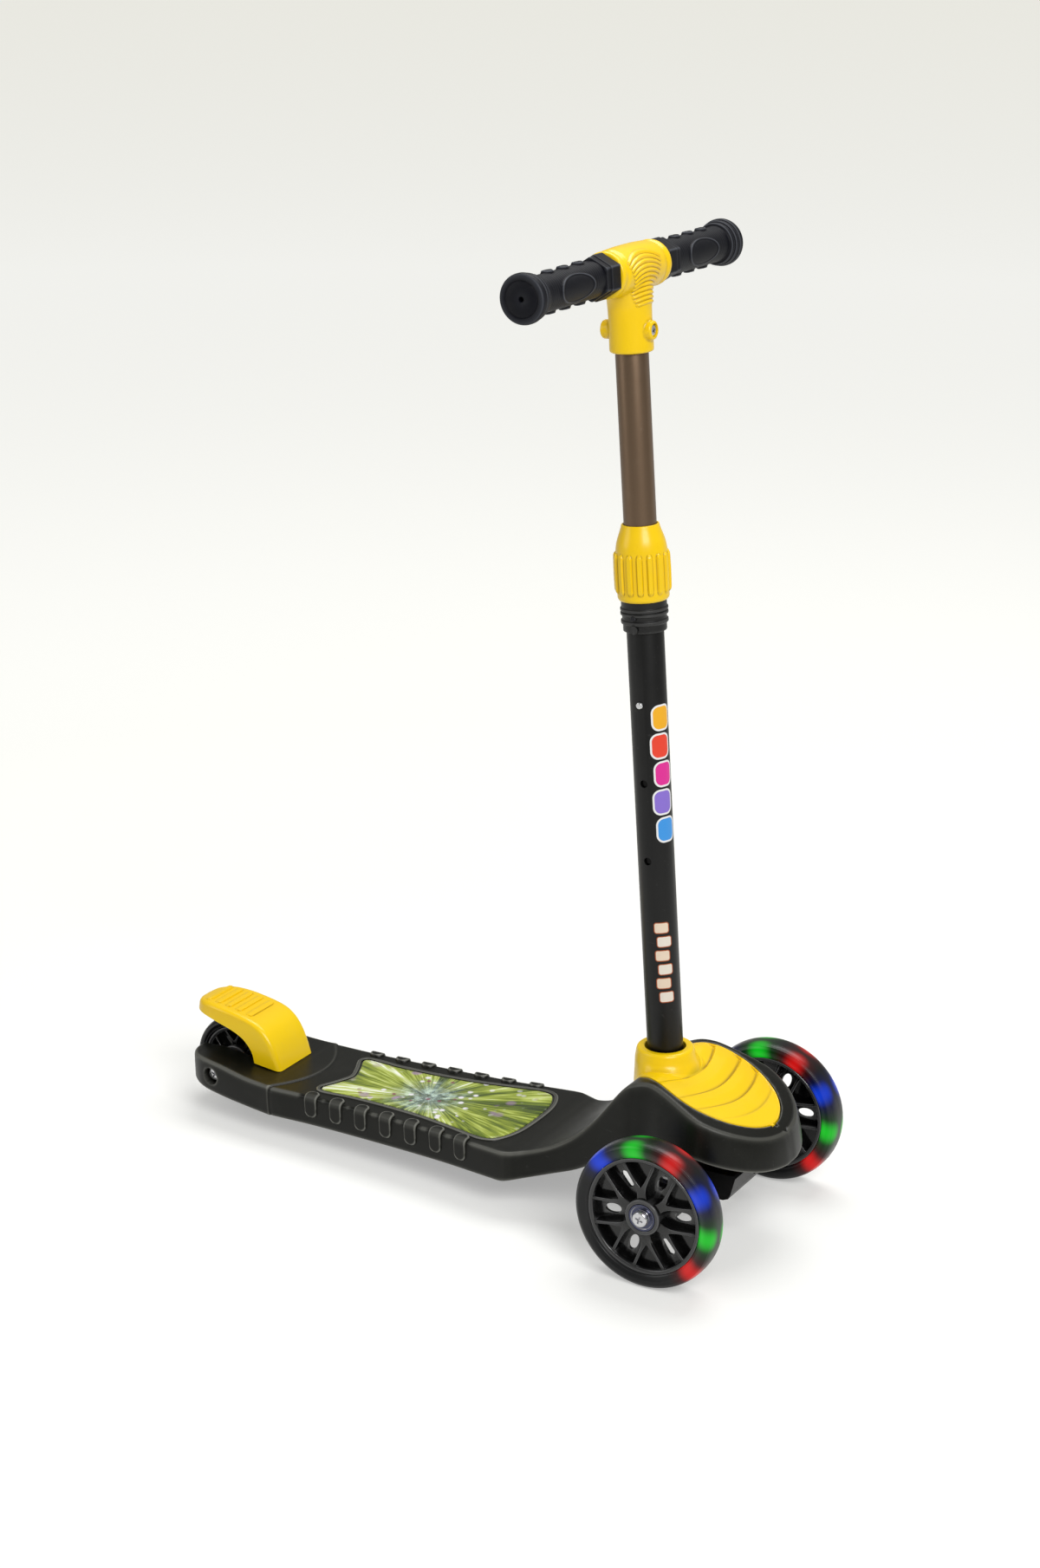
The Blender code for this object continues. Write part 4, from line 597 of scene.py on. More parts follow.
def tilePaint(tree, coords, colour):
    # two plain rows of rounded tiles printed up the tube, each tile bordered
    for row in tubePrint:
        x, y, up = turnedCoords(tree, coords, columnMatrix(row["facing"]))
        across = maths(tree, "MULTIPLY", maths(tree, "ARCTAN2", y, x), columnPlace["tubeRadius"])
        step = (row["high"] - row["low"] - row["tall"]) / (len(row["tones"]) - 1)
        corner = row["corner"]
        for grow, solid in ((row["border"], row["edge"]), (0.0, None)):
            for k, tone in enumerate(row["tones"]):
                # distance outside a rounded rectangle that leans a little from tile to tile
                centre = (tileEdge["sway"] * (-1) ** k, row["low"] + row["tall"] / 2 + k * step)
                past = []
                for value, middle, half in zip((across, up), centre, (row["half"], row["tall"] / 2)):
                    away = maths(tree, "ABSOLUTE", maths(tree, "SUBTRACT", value, middle))
                    past.append(maths(tree, "MAXIMUM", maths(tree, "SUBTRACT", away, half - corner), 0.0))
                low, high = corner - tileEdge["blur"] + grow, corner + tileEdge["blur"] + grow
                inside = spanned(tree, lengthOf(tree, *past), low, high, 1.0, 0.0)
                colour = mixed(tree, inside, colour, solid or tone)
    return colour


# how the yellow drifts to orange at random, and the painted shade that deepens the fender's top: noise scale
# and span, share, and where on the fender, from the rear axle
driftAndFenderShade = {
    "scale": 9.0, "span": (0.2, 0.8), "share": 0.3, "fenderShadeHeight": (40.0, 50.0), "fenderShadeFront": (48.0, 28.0),
}


def fenderTopShadePaint(tree, coords, colour):
    # painted shade: the top of the fender is painted a little deeper orange
    x, _, z = turnedCoords(tree, coords, drawingMatrix(*rearAxle))
    high = spanned(tree, z, *driftAndFenderShade["fenderShadeHeight"], soft=True)
    back = spanned(tree, x, *driftAndFenderShade["fenderShadeFront"], soft=True)
    return mixed(tree, product(tree, high, back, driftAndFenderShade["share"]), colour, finish["yellowDeepAndShade"])


def flowPaint(tree, coords, colour):
    # slow drift towards orange, as moulded yellow has
    cloudy = spanned(tree, noise(tree, coords, driftAndFenderShade["scale"], 0.0), *driftAndFenderShade["span"], soft=True)
    return mixed(tree, maths(tree, "MULTIPLY", cloudy, driftAndFenderShade["share"]), colour, finish["yellowDeepAndShade"])


# the cover's creases: x at y = 0, bend, y it bends about, share of the painted shade, depth, share of the
# depth left at the right-hand end
coverCreases = (
    (-14.8, 0.005, 5.0, 0.55, 2.3, 0.5), (4.4, 0.0035, 8.0, 0.6, 2.2, 0.5),
    (21.7, 0.0045, 7.0, 0.55, 2.1, 0.5), (37.0, 0.005, 6.0, 0.25, 1.0, 0.3),
)
# mm across the crease and along it between which the painted shade comes in, from either side
creaseShadeBand = {"across": ((-2.6, 0.4), (2.8, 0.6)), "along": ((-38.0, -8.0), (34.0, 12.0))}


def coverPaint(tree, coords, colour):
    # painted shade lies in each crease x = line - bend (y - middle)^2 and fades towards both ends
    colour = flowPaint(tree, coords, colour)
    x, y, _ = turnedCoords(tree, coords, drawingMatrix(0, 0, 0))
    for line, bend, middle, share, _, _ in coverCreases:
        off = maths(tree, "SUBTRACT", y, middle)
        d = maths(tree, "ADD", maths(tree, "SUBTRACT", x, line), product(tree, off, off, bend))
        for value, sides in ((d, creaseShadeBand["across"]), (off, creaseShadeBand["along"])):
            for low, high in sides:
                share = product(tree, spanned(tree, value, low, high, soft=True), share)
        colour = mixed(tree, share, colour, finish["coverCreaseShade"])
    return colour


# up the tube, where the painted shade inside the lower tube fades out
shadedInsideTo = (430.0, 431.0)


def bronzePaint(tree, coords, colour):
    # painted shade: the length that always stays inside the lower tube is painted black
    up = turnedCoords(tree, coords, columnMatrix(0.0))[2]
    return mixed(tree, spanned(tree, up, *shadedInsideTo, 1.0, 0.0), colour, finish["insideShadeBlack"])


# painted shade: the yellow pieces are painted deep gold in their creases
yellowPlastic, coverPlastic, fenderPlastic = (
    newMaterial(name, finish["yellow"], 0.3, paint=paint, vary=0.06, creaseShade=(finish["yellowCreaseShade"], 0.85),
                Specular_IOR_Level=0.35, Coat_Weight=0.12, Coat_Roughness=0.12)
    for name, paint in (
        ("yellowPlastic", flowPaint), ("coverPlastic", coverPaint), ("fenderPlastic", fenderTopShadePaint),
    )
)
# painted highlight: the deck's edges are painted pale grey
deckPlastic = newMaterial(
    "deckPlastic", finish["deckBlack"], 0.36, grain=(1700, 0.0001), dust=0.01, scuff=0.03,
    edge=((0.19, 0.19, 0.17), 0.85), Specular_IOR_Level=0.22)
# painted highlight: a faint lighter tone on the edges
nylonPlastic = newMaterial(
    "nylonPlastic", finish["glossBlack"], 0.4, vary=0.12, grain=(1700, 0.00008), dust=0.01,
    edge=((0.05, 0.05, 0.05), 0.6), Specular_IOR_Level=0.35)
# painted highlight: lighter grey on the edges of the spokes and other gloss black pieces
glossBlack = newMaterial(
    "glossBlack", finish["glossBlack"], 0.12, vary=0.08, dust=0.006, scuff=0.03,
    edge=((0.16, 0.16, 0.165), 0.5), Specular_IOR_Level=0.5)
tubeBlack = newMaterial(
    "tubeBlack", finish["tubeBlack"], 0.36, paint=tilePaint, vary=0.08, dust=0.005, Specular_IOR_Level=0.3)
bronzeTube = newMaterial("bronzeTube", finish["bronze"], 0.36, 0.75, paint=bronzePaint)
# painted highlight: a lighter blue-grey on the grips' edges
gripRubber = newMaterial(
    "gripRubber", finish["rubber"], 0.5, vary=0.14, grain=(1600, 0.00012), dust=0.012,
    edge=((0.075, 0.08, 0.095), 0.8), Specular_IOR_Level=0.16)
steelBright = newMaterial("steelBright", finish["steel"], 0.24, 1.0, vary=0.15, scuff=0.1)
steelDark = newMaterial("steelDark", finish["steelDark"], 0.35, 1.0, vary=0.15)
panelPrint = newMaterial(
    "panelPrint", (0.3, 0.4, 0.1), 0.25, paint=panelPaint, vary=0.08, scuff=0.0,
    Specular_IOR_Level=0.35, Coat_Weight=0.2, Coat_Roughness=0.08)
smokeTyre = newMaterial(
    "smokeTyre", finish["smoke"], 0.24, dust=0.01, scuff=0.03, Specular_IOR_Level=0.4)

lightTones = {"blue": (0.002, 0.04, 0.6), "green": (0.002, 0.52, 0.012), "red": (0.6, 0.004, 0.003)}
# angles in degrees round the wheel, lengths in mm; core and reach bound the near glow, core and far the other
lightRing = {
    "first": 134.0, "step": -35.0, "radius": 53.6, "side": 8.5, "flat": 1.35,
    "core": 3.0, "reach": 13.0, "far": 22.0, "nearShare": 0.9, "farShare": 0.1,
    "order": ("blue", "green", "red", "blue", "green", "red"),
}


def makeTyreMaterial(name, side):
    # smoky tyre with a soft glow over each light block, which fades with the distance from its middle
    ring = lightRing
    material = newMaterial(name, finish["smoke"], 0.3, dust=0.008, scuff=0.02, Specular_IOR_Level=0.35)
    tree = material.node_tree
    shader = tree.nodes["Principled BSDF"]
    place = drawingMatrix(0, side * stance["halfTrack"], stance["hubHeight"])
    x, y, z = turnedCoords(tree, objectCoords(tree), place)
    sunk = maths(tree, "SUBTRACT", maths(tree, "ABSOLUTE", y), ring["side"])
    sunk = maths(tree, "MULTIPLY", sunk, ring["flat"])
    glow = (0.0, 0.0, 0.0, 1.0)
    for k, tone in enumerate(ring["order"]):
        angle = math.radians(ring["first"] + k * ring["step"])
        dx = maths(tree, "SUBTRACT", x, ring["radius"] * math.cos(angle))
        dz = maths(tree, "SUBTRACT", z, ring["radius"] * math.sin(angle))
        d = lengthOf(tree, dx, sunk, dz)
        near = spanned(tree, d, ring["core"], ring["reach"], ring["nearShare"], 0.0, soft=True)
        far = spanned(tree, d, ring["core"], ring["far"], ring["farShare"], 0.0, soft=True)
        glow = mixed(tree, maths(tree, "ADD", near, far), glow, lightTones[tone], "ADD")
    tree.links.new(glow, shader.inputs["Emission Color"])
    shader.inputs["Emission Strength"].default_value = 1.0
    return material


tyreLit = {side: makeTyreMaterial("tyreLit" + hand, side) for side, hand in ((1, "Left"), (-1, "Right"))}

slotMaterial = {
    "deck_plastic": deckPlastic, "panel_plastic": panelPrint, "yellow_plastic": yellowPlastic,
    "black_plastic": glossBlack, "nylon": nylonPlastic, "black_paint": nylonPlastic,
    "bronze_paint": bronzeTube, "steel": steelBright, "chrome": steelBright,
    "smoke_tyre": smokeTyre, "black_tyre": smokeTyre, "light_strip": glossBlack,
    "grip_rubber": gripRubber, "bush_rubber": gripRubber,
}
for part in frame["record"]["subparts"]:
    mesh = nodes[part["node"]].data
    mesh.materials.clear()
    dark = part["node"] == "collet_screw"
    mesh.materials.append(steelDark if dark else slotMaterial[part["material_slot"]])
print("materials ready")


# deck, neck and nose in one moulding
deckShape = {
    "wall": 3.2, "edgeRadius": 3.0, "noseRadius": 3.2,
    # how far the tail stands proud of the middle, and its side out, and where each begins
    "tailRise": 0.9, "tailStep": (-371.0, -368.6), "stepBend": 0.0085,
    "tailFlare": 0.8, "flareX": (-392.8, -391.2), "flareWidth": (4.0, 20.0), "noseX": (-140.0, -60.0),
    # points over the top, round the shoulder and down the side, outside and inside
    "points": ((34, 7, 16), (12, 3, 6)), "topPower": 0.9, "turnStart": 0.14,
    # how fast the ends draw in, least radius, least share of the width, lead of the bulge, rim at the foot
    "drawIn": 0.5, "leastRadius": 0.8, "leastShare": 0.3, "bulgeLead": 3.4, "bulgeTop": 0.2,
    "footHeight": 0.7, "footStep": 0.6,
    # rows per mm behind each x, then in front of the last
    "rowsPerMm": ((-398.0, 0.7), (-362.0, 1.3), (-172.0, 0.28), (1000.0, 0.65)),
    "slotHalf": 15.0, "slotFront": -402.0, "slotBack": -485.5,
}
# x, half width, top, foot, bulge of the side, spread of the foot
bodyLine = np.array([
    (-486.96, 0.0, 62.5, 45.0, 0.0, 0.0), (-486.96, 13.0, 62.5, 45.0, 0.0, 0.0),
    (-486.6, 22.0, 62.5, 44.5, 0.0, 0.0), (-483.0, 31.0, 63.5, 42.5, 0.0, 0.0),
    (-476.0, 39.0, 64.0, 40.5, 0.0, -0.5), (-464.0, 45.0, 64.5, 38.5, 0.0, -0.5),
    (-444.0, 48.0, 62.5, 35.5, 0.0, -1.0), (-420.0, 50.4, 58.6, 33.2, 0.0, -1.0),
    (-400.0, 52.0, 57.0, 31.5, 0.0, -1.0), (-392.0, 52.7, 57.0, 31.0, 0.0, -1.0),
    (-384.0, 53.0, 57.0, 31.0, 0.0, -1.0), (-347.5, 52.6, 57.0, 31.0, 0.0, -1.0),
    (-298.4, 54.6, 57.0, 31.0, 0.0, -1.0), (-255.0, 57.2, 57.0, 31.0, 0.0, -1.0),
    (-214.2, 60.6, 57.0, 31.0, 0.0, -1.0), (-172.0, 66.2, 57.0, 31.0, 0.0, -1.0),
    (-158.0, 67.6, 57.0, 31.0, 0.0, -1.0), (-151.0, 66.2, 57.0, 32.0, 0.0, -1.0),
    (-144.0, 62.8, 57.6, 33.5, 0.0, -1.0), (-133.0, 57.2, 59.4, 36.0, 0.3, -1.0),
    (-117.0, 52.8, 65.2, 41.0, 0.8, -0.6), (-98.0, 50.6, 77.2, 48.0, 1.5, 0.0),
    (-80.0, 50.5, 95.2, 58.0, 2.0, 0.8), (-55.0, 51.5, 126.4, 74.0, 3.0, 1.8),
    (-43.0, 51.4, 134.4, 79.5, 3.0, 2.6), (-30.0, 52.0, 137.0, 84.5, 3.2, 3.3),
    (-16.0, 55.2, 134.0, 88.3, 3.4, 3.9), (12.0, 61.4, 122.2, 90.0, 3.4, 4.6),
    (25.0, 59.6, 116.6, 87.3, 3.4, 4.8), (37.0, 53.6, 111.4, 83.2, 3.4, 4.8),
    (47.0, 45.2, 106.6, 79.6, 3.4, 4.8), (55.0, 35.0, 102.4, 76.6, 3.4, 4.8),
    (60.7, 22.6, 99.2, 74.4, 3.4, 4.8), (63.7, 9.0, 97.2, 73.0, 3.4, 4.8),
    (64.0, 0.0, 97.0, 72.9, 3.4, 4.8),
])
coverHalf = np.array([
    (53.4, 4.0), (51.6, 12.0), (47.6, 21.6), (41.2, 30.6), (31.8, 39.0), (18.2, 46.0), (2.5, 49.4),
    (-13.1, 48.2), (-28.3, 43.2), (-41.0, 36.6), (-53.0, 29.0), (-62.0, 20.4), (-67.4, 12.0), (-70.0, 4.0),
])
panelHalf = np.array([
    (0.226, 0.0), (0.207, 15.0), (0.181, 28.0), (0.176, 31.4), (0.181, 34.4), (0.2, 35.4), (0.24, 35.0),
    (0.33, 33.6), (0.48, 34.8), (0.65, 39.0), (0.84, 48.2), (0.885, 49.9), (0.912, 49.2), (0.934, 46.0),
    (0.956, 36.0), (0.97, 22.0), (0.974, 0.0),
]) * (234, 1) + (-392, 0)


def bodyRows():
    # rows lie closer together at the tail's step and round the ends than along the deck
    fine = curveThrough(bodyLine, 2400)
    x = fine[:, 0]
    ends, rates = np.array(deckShape["rowsPerMm"]).T
    density = rates[np.searchsorted(ends, x, side="right")]
    steps = np.hypot(*np.diff(fine[:, :2], axis=0).T)
    length = np.concatenate([[0], np.cumsum(steps * density[1:])])
    even = np.linspace(0, length[-1], int(length[-1]))
    return np.stack([np.interp(even, length, column) for column in fine.T], 1)


deckRows = bodyRows()
topX = np.maximum.accumulate(deckRows[:, 0] + np.arange(len(deckRows)) * 1e-6)


def topZ(x):
    return np.interp(x, topX, deckRows[:, 2])


def footZ(x):
    return np.interp(x, topX, deckRows[:, 3])


def halfWidth(x):
    return np.interp(x, topX, deckRows[:, 1])


def belowTop(x, depth):
    # height at a depth under the top skin, measured square to the skin
    slope = (topZ(x + 4) - topZ(x - 4)) / 8
    return topZ(x) - depth * np.sqrt(1 + slope * slope)


def tailStep(x, y):
    # 1 on the tail and 0 in front of the curve x = -369.8 - 0.0085 y^2
    back, front = deckShape["tailStep"]
    bend = deckShape["stepBend"] * y * y
    return 1 - ramp(x, back - bend, front - bend)


def bodySkin(inset):
    # one row per outline point: middle, top, rounded shoulder and bulging side; then mirrored
    shape, outside = deckShape, inset == 0
    topCount, turnCount, sideCount = shape["points"][0 if outside else 1]
    least, narrow = shape["leastRadius"], shape["leastShare"]
    x, w, _, foot, bulge, toe = deckRows.T
    flare = shape["tailFlare"] * (1 - ramp(x, *shape["flareX"])) * ramp(w, *shape["flareWidth"])
    along = np.stack([np.gradient(x), np.gradient(w)], 1)
    nx, ny = np.stack([-along[:, 1], along[:, 0]]) / np.hypot(*along.T)
    x, w = x - inset * nx, np.maximum(w + flare - inset * ny, 0.1)
    w[[0, -1]] = 0.0
    radius = shape["edgeRadius"] + (shape["noseRadius"] - shape["edgeRadius"]) * ramp(x, *shape["noseX"])
    radius = np.minimum(np.maximum(radius - inset, least), np.maximum(w, least))
    edgeX, edgeY = x - radius * nx, np.maximum(w - radius * ny, narrow * w)
    walked = walkedLength(deckRows)
    middleX = np.maximum(edgeX, edgeX[0] + shape["drawIn"] * walked)
    middleX = np.minimum(middleX, edgeX[-1] - shape["drawIn"] * (walked[-1] - walked))
    share = np.linspace(0, 1, topCount) ** shape["topPower"]
    flatX = middleX[:, None] + (edgeX - middleX)[:, None] * share
    flatY = edgeY[:, None] * share
    high = topZ(flatX) + shape["tailRise"] * tailStep(flatX, flatY) if outside else belowTop(flatX, inset)
    edgeZ = high[:, -1:]
    drop = edgeZ[:, 0] - radius - foot
    lastTurn = math.pi / 2 - np.arctan((shape["bulgeLead"] * bulge - toe) / drop)
    turn = lastTurn[:, None] * np.linspace(shape["turnStart"], 1, turnCount)
    lean = shape["bulgeTop"] * bulge[:, None] * turn / lastTurn[:, None]
    shoulder = radius[:, None] * (np.sin(turn) - 1) + lean
    shoulderZ = edgeZ - radius[:, None] * (1 - np.cos(turn))
    # the side runs from the shoulder at t = 0 through the bulge at t = 1/2 to the toe at t = 1
    t = np.linspace(0, 1, sideCount)[1:]
    side = shoulder[:, -1:] * (1 - t) * (1 - 2 * t) + bulge[:, None] * 4 * t * (1 - t)
    side = side + toe[:, None] * t * (2 * t - 1)
    sideZ = shoulderZ[:, -1:] + (foot[:, None] - shoulderZ[:, -1:]) * t
    if outside:
        sideZ[:, -1] += shape["footHeight"]
        side = np.concatenate([side, side[:, -1:] - shape["footStep"]], 1)
        sideZ = np.concatenate([sideZ, foot[:, None]], 1)
    out, down = np.concatenate([shoulder, side], 1), np.concatenate([shoulderZ, sideZ], 1)
    wallY = np.maximum(w[:, None] + ny[:, None] * out, narrow * w[:, None]) * (w[:, None] > 0)
    wall = np.stack([x[:, None] + nx[:, None] * out, wallY, down], -1)
    half = np.concatenate([np.stack([flatX, flatY, high], -1), wall], 1)
    return np.concatenate([half[:, :0:-1] * (1, -1, 1), half], 1)


def coverOutline(grow, count=160):
    # closed outline of the nose cover, seen from above
    line = curveThrough(np.concatenate([coverHalf, coverHalf[::-1] * (1, -1)]), count, True)
    return grownLine(line, grow)


def coverBar(grow, low, high):
    # the ground inside the cover's outline, between two heights that follow x
    line = coverOutline(grow)
    line = line[line[:, 1] > 0.3]
    x, w = line[np.argsort(line[:, 0])].T
    return bar(np.stack([x, w, low(x), high(x)], 1))


def panelOutline(grow):
    line = curveThrough(np.concatenate([panelHalf, panelHalf[-2:0:-1] * (1, -1)]), 240, True)
    return grownLine(line, grow)


panelShape = {
    "middle": (-250.0, 0.0), "low": 55.8, "rows": 12,
    # distance outside the outline and height: the panel's rounded edge, and the ridge round it
    "edge": ((0.0, 57.2), (-0.1, 57.45), (-0.35, 57.6)),
    "ridge": ((5.6, 55.4), (5.6, 56.6), (4.6, 58.2), (2.6, 58.3), (1.6, 57.6), (1.6, 55.4)), "ridgeSoft": 0.9,
}


def panelRing(grow, z, share=1.0):
    # the outline grown by grow and drawn in towards the panel's middle, at height z
    flat = panelOutline(grow) * share + np.array(panelShape["middle"]) * (1 - share)
    return np.column_stack([flat, np.full(len(flat), z)])


def panelLip():
    # soft ridge that runs round the panel
    section = rounded(panelShape["ridge"], panelShape["ridgeSoft"], True, 4)
    rings = [panelRing(grow, z) for grow, z in section]
    return surface("panelLip", (toRow(np.array(rings)), True, True))


padShape = {
    "count": 7, "step": 25.34, "first": -348.9, "half": 7.2, "corner": 6.4, "rise": 2.1, "shoulder": 1.9,
    "sunk": 0.9, "root": 1.9,
    # out along the top, round the corner and down the side: (beyond the deck's edge, height)
    "line": ((-9.5, 57.0), (0.0, 57.0), (-0.9, 37.8)), "bend": 3.4, "rows": 44, "columns": 31,
}


def sidePad(x, side):
    # a tongue over the deck's edge, square to it
    shape = padShape
    w = float(halfWidth(x))
    turn = math.atan2(float(halfWidth(x + 5) - halfWidth(x - 5)), 10)
    path = rounded(shape["line"], shape["bend"], steps=9)
    total = walkedLength(path)[-1]
    even, path = np.linspace(0, total, shape["rows"]), evenLine(path, shape["rows"])
    along = np.gradient(path, axis=0)
    normal = np.stack([-along[:, 1], along[:, 0]], 1) / np.hypot(*along.T)[:, None]
    across = np.linspace(-1, 1, shape["columns"]) * shape["half"]
    # rounded rectangle: how far a point lies inside its edge, then a soft shoulder
    a, b = np.abs(across)[None, :], np.abs(even - total / 2)[:, None]
    overA = np.maximum(a - (shape["half"] - shape["corner"]), 0)
    overB = np.maximum(b - (total / 2 - shape["corner"]), 0)
    inside = ramp(shape["corner"] - np.hypot(overA, overB), 0.0, shape["shoulder"])
    rise = -shape["sunk"] + (shape["rise"] + shape["sunk"]) * inside
    lift = path[:, None, :] + normal[:, None, :] * rise[..., None]
    base = path[:, None, :] - normal[:, None, :] * (shape["root"] + 0 * rise[..., None])
    sheets = []
    for flat, u in ((lift, across), (base[:, ::-1], across[::-1])):
        out, up = flat[..., 0], flat[..., 1]
        along = x + u * math.cos(turn) - out * math.sin(turn)
        sheets.append(np.stack([along, side * (w + out * math.cos(turn) + u * math.sin(turn)), up], -1))
    return surface("sidePad", (toRow(shutEnds(np.concatenate(sheets, 1))), False, True))


ribShape = {
    # the two ribs along: x from, to and points; both faces; above the foot, below the top, highest
    "along": (-400.4, -3.0, 24), "faces": (14.0, 16.6), "aboveFoot": 4.0, "belowTop": 2.2, "highest": 113.0,
    # the ribs across: x, low, high, reach beyond the half width
    "half": 1.3,
    "across": (
        (-382.6, 36.3, 54.5, -1.6), (-307.8, 36.3, 54.5, -1.6), (-232.9, 36.3, 54.5, -1.6),
        (-160.3, 36.3, 54.5, -1.6), (-41.3, 86.0, 110.0, 1.2), (-1.6, 93.0, 104.0, 2.2),
        (25.6, 90.5, 102.0, 2.6),
    ),
}


def underRibs():
    shape, pieces = ribShape, []
    xs = np.linspace(*shape["along"])
    low = np.stack([xs, footZ(xs) + shape["aboveFoot"]], 1)
    high = np.stack([xs, np.minimum(belowTop(xs, shape["belowTop"]), shape["highest"])], 1)
    for side in (1, -1):
        faces = sorted(side * face for face in shape["faces"])
        pieces.append(prism(np.concatenate([low, high[::-1]]), *faces, "XZ"))
    for x, low, high, reach in shape["across"]:
        half = float(halfWidth(x)) + reach
        pieces.append(block(x - shape["half"], x + shape["half"], -half, half, low, high))
    return pieces


deckFit = {
    # radius and half length
    "axleBoss": (9.4, 44.2), "axleHole": (4.25, 70.0), "pinBoss": (5.6, 25.0), "pinHole": (2.75, 23.5),
    # radius, from and to on each side
    "headHole": (7.6, 36.5, 70.0), "brakePin": (-407.5, 0.0, 49.0),
    # the seat for the cover and the opening under it: growth of the outline and depths
    "seat": (3.5, 6.5, 1.5), "recess": (0.9, 3.4), "opening": (-3.5, 9.5),
    "notch": (50.0, 56.6, -4.2, -0.4, 99.0, 120.0), "panelGap": (0.3, 55.5, 66.0),
    # the tongue that carries the truck, about the pivot bolt
    "pivotZ": 64.0, "tongueHalf": 12.0, "tongueTop": 103.0, "tongueX": (-1.0, 25.0),
    "pivotHole": (8.25, -10.0, 34.0), "stopHole": (3.25, -46.0, -29.0), "stopZ": 42.0,
    # the boss under the column: radius, foot, top; the bore for the tube, its drain and its bolt
    "boss": (20.0, -2.0, 53.0), "tubeBore": (14.6, 3.7, 90.0), "drain": (6.0, -9.0, 9.0),
    "bolt": (2.75, 30.0, 20.0), "stopBlock": (-42.0, -33.0, -8.0, 8.0, 35.5, 64.0),
    # the two pads for the cover's screws and their holes
    "screwPad": (11.0, 25.0, 30.0, 40.0, 98.0, 101.4),
    "screwHole": (1.9, 95.0, 105.0), "screwAt": (17.0, 35.0),
}


def through(radius, half, at, place=toRow):
    # a round bar across the object, as far to the left as to the right
    return drill(radius, -half, half, "Y", at, place)


def makeDeck():
    shape, fit = deckShape, deckFit
    outer, inner = bodySkin(0.0), bodySkin(shape["wall"])
    rims = [(toRow(np.stack([outer[:, k], inner[:, k]])), False, False) for k in (0, -1)]
    deck = surface("deckMoulding", (toRow(outer), False, False), (toRow(inner), False, False), *rims)
    x = deckRows[:, 0]
    slotX = x[(x > shape["slotBack"]) & (x < shape["slotFront"] + shape["wall"])][::6]
    half = shape["slotHalf"] + shape["wall"]
    combine(
        deck, "UNION",
        bar(np.stack([slotX, half + 0 * slotX, footZ(slotX) + 1, belowTop(slotX, 1.5)], 1)),
        through(*fit["axleBoss"], rearAxle), through(*fit["pinBoss"], fit["brakePin"]),
    )
    radius, near, far = fit["headHole"]
    combine(
        deck, "DIFFERENCE",
        block(-516, shape["slotFront"], -shape["slotHalf"], shape["slotHalf"], 0, 120),
        through(*fit["axleHole"], rearAxle), drill(radius, near, far, "Y", rearAxle),
        drill(radius, -far, -near, "Y", rearAxle), through(*fit["pinHole"], fit["brakePin"]),
    )
    places = [padShape["first"] + k * padShape["step"] for k in range(padShape["count"])]
    combine(deck, "UNION", *(sidePad(place, side) for place in places for side in (1, -1)))
    grow, low, high = fit["seat"]
    seat = coverBar(grow, lambda x: belowTop(x, low), lambda x: belowTop(x, high))
    combine(deck, "UNION", panelLip(), *underRibs(), seat)
    (recess, recessDepth), (opening, openingDepth) = fit["recess"], fit["opening"]
    combine(
        deck, "DIFFERENCE",
        coverBar(recess, lambda x: belowTop(x, recessDepth), lambda x: topZ(x) + 60), block(*fit["notch"]),
        coverBar(opening, lambda x: belowTop(x, openingDepth), lambda x: topZ(x) + 90),
        prism(panelOutline(fit["panelGap"][0]), *fit["panelGap"][1:]),
    )
    arc = np.radians(np.arange(180, 361, 6))
    half, pivot, top = fit["tongueHalf"], fit["pivotZ"], fit["tongueTop"]
    tongue = np.stack([half * np.cos(arc), pivot + half * np.sin(arc)], 1)
    tongue = np.concatenate([[(half, top), (-half, top)], tongue])
    radius, low, high = fit["boss"]
    boss = [(0, low), (radius, low), (radius, high), (0, high)]
    x0, x1, y0, y1, z0, z1 = fit["screwPad"]
    combine(
        deck, "UNION",
        prism(tongue, *fit["tongueX"], "YZ"), turnedPiece("boss", boss, place=columnToRow),
        block(*fit["stopBlock"]), block(x0, x1, y0, y1, z0, z1), block(x0, x1, -y1, -y0, z0, z1),
    )
    radius, reach, up = fit["bolt"]
    x, y = fit["screwAt"]
    combine(
        deck, "DIFFERENCE",
        drill(*fit["tubeBore"], place=columnToRow), drill(*fit["drain"], place=columnToRow),
        through(radius, reach, (0, 0, up), columnToRow),
        drill(*fit["pivotHole"], "X", (0, 0, pivot)), drill(*fit["stopHole"], "X", (0, 0, fit["stopZ"])),
        drill(*fit["screwHole"], "Z", (x, y, 0)), drill(*fit["screwHole"], "Z", (x, -y, 0)),
    )
    return finishPiece(deck, deckPlastic, "chassis", ["deck_body"], 33)


def makePanel():
    # rings of the outline drawn in towards one middle point, with a small rounded edge
    shape = panelShape
    rings = [panelRing(0.0, shape["low"], share) for share in (0, 0.5, 1)]
    rings += [panelRing(grow, z) for grow, z in shape["edge"]]
    rings += [panelRing(*shape["edge"][-1], share) for share in np.linspace(1, 0, shape["rows"])[1:]]
    panel = surface("deckPanel", (toRow(np.array(rings)), False, True))
    return finishPiece(panel, panelPrint, "chassis", ["deck_panel"])


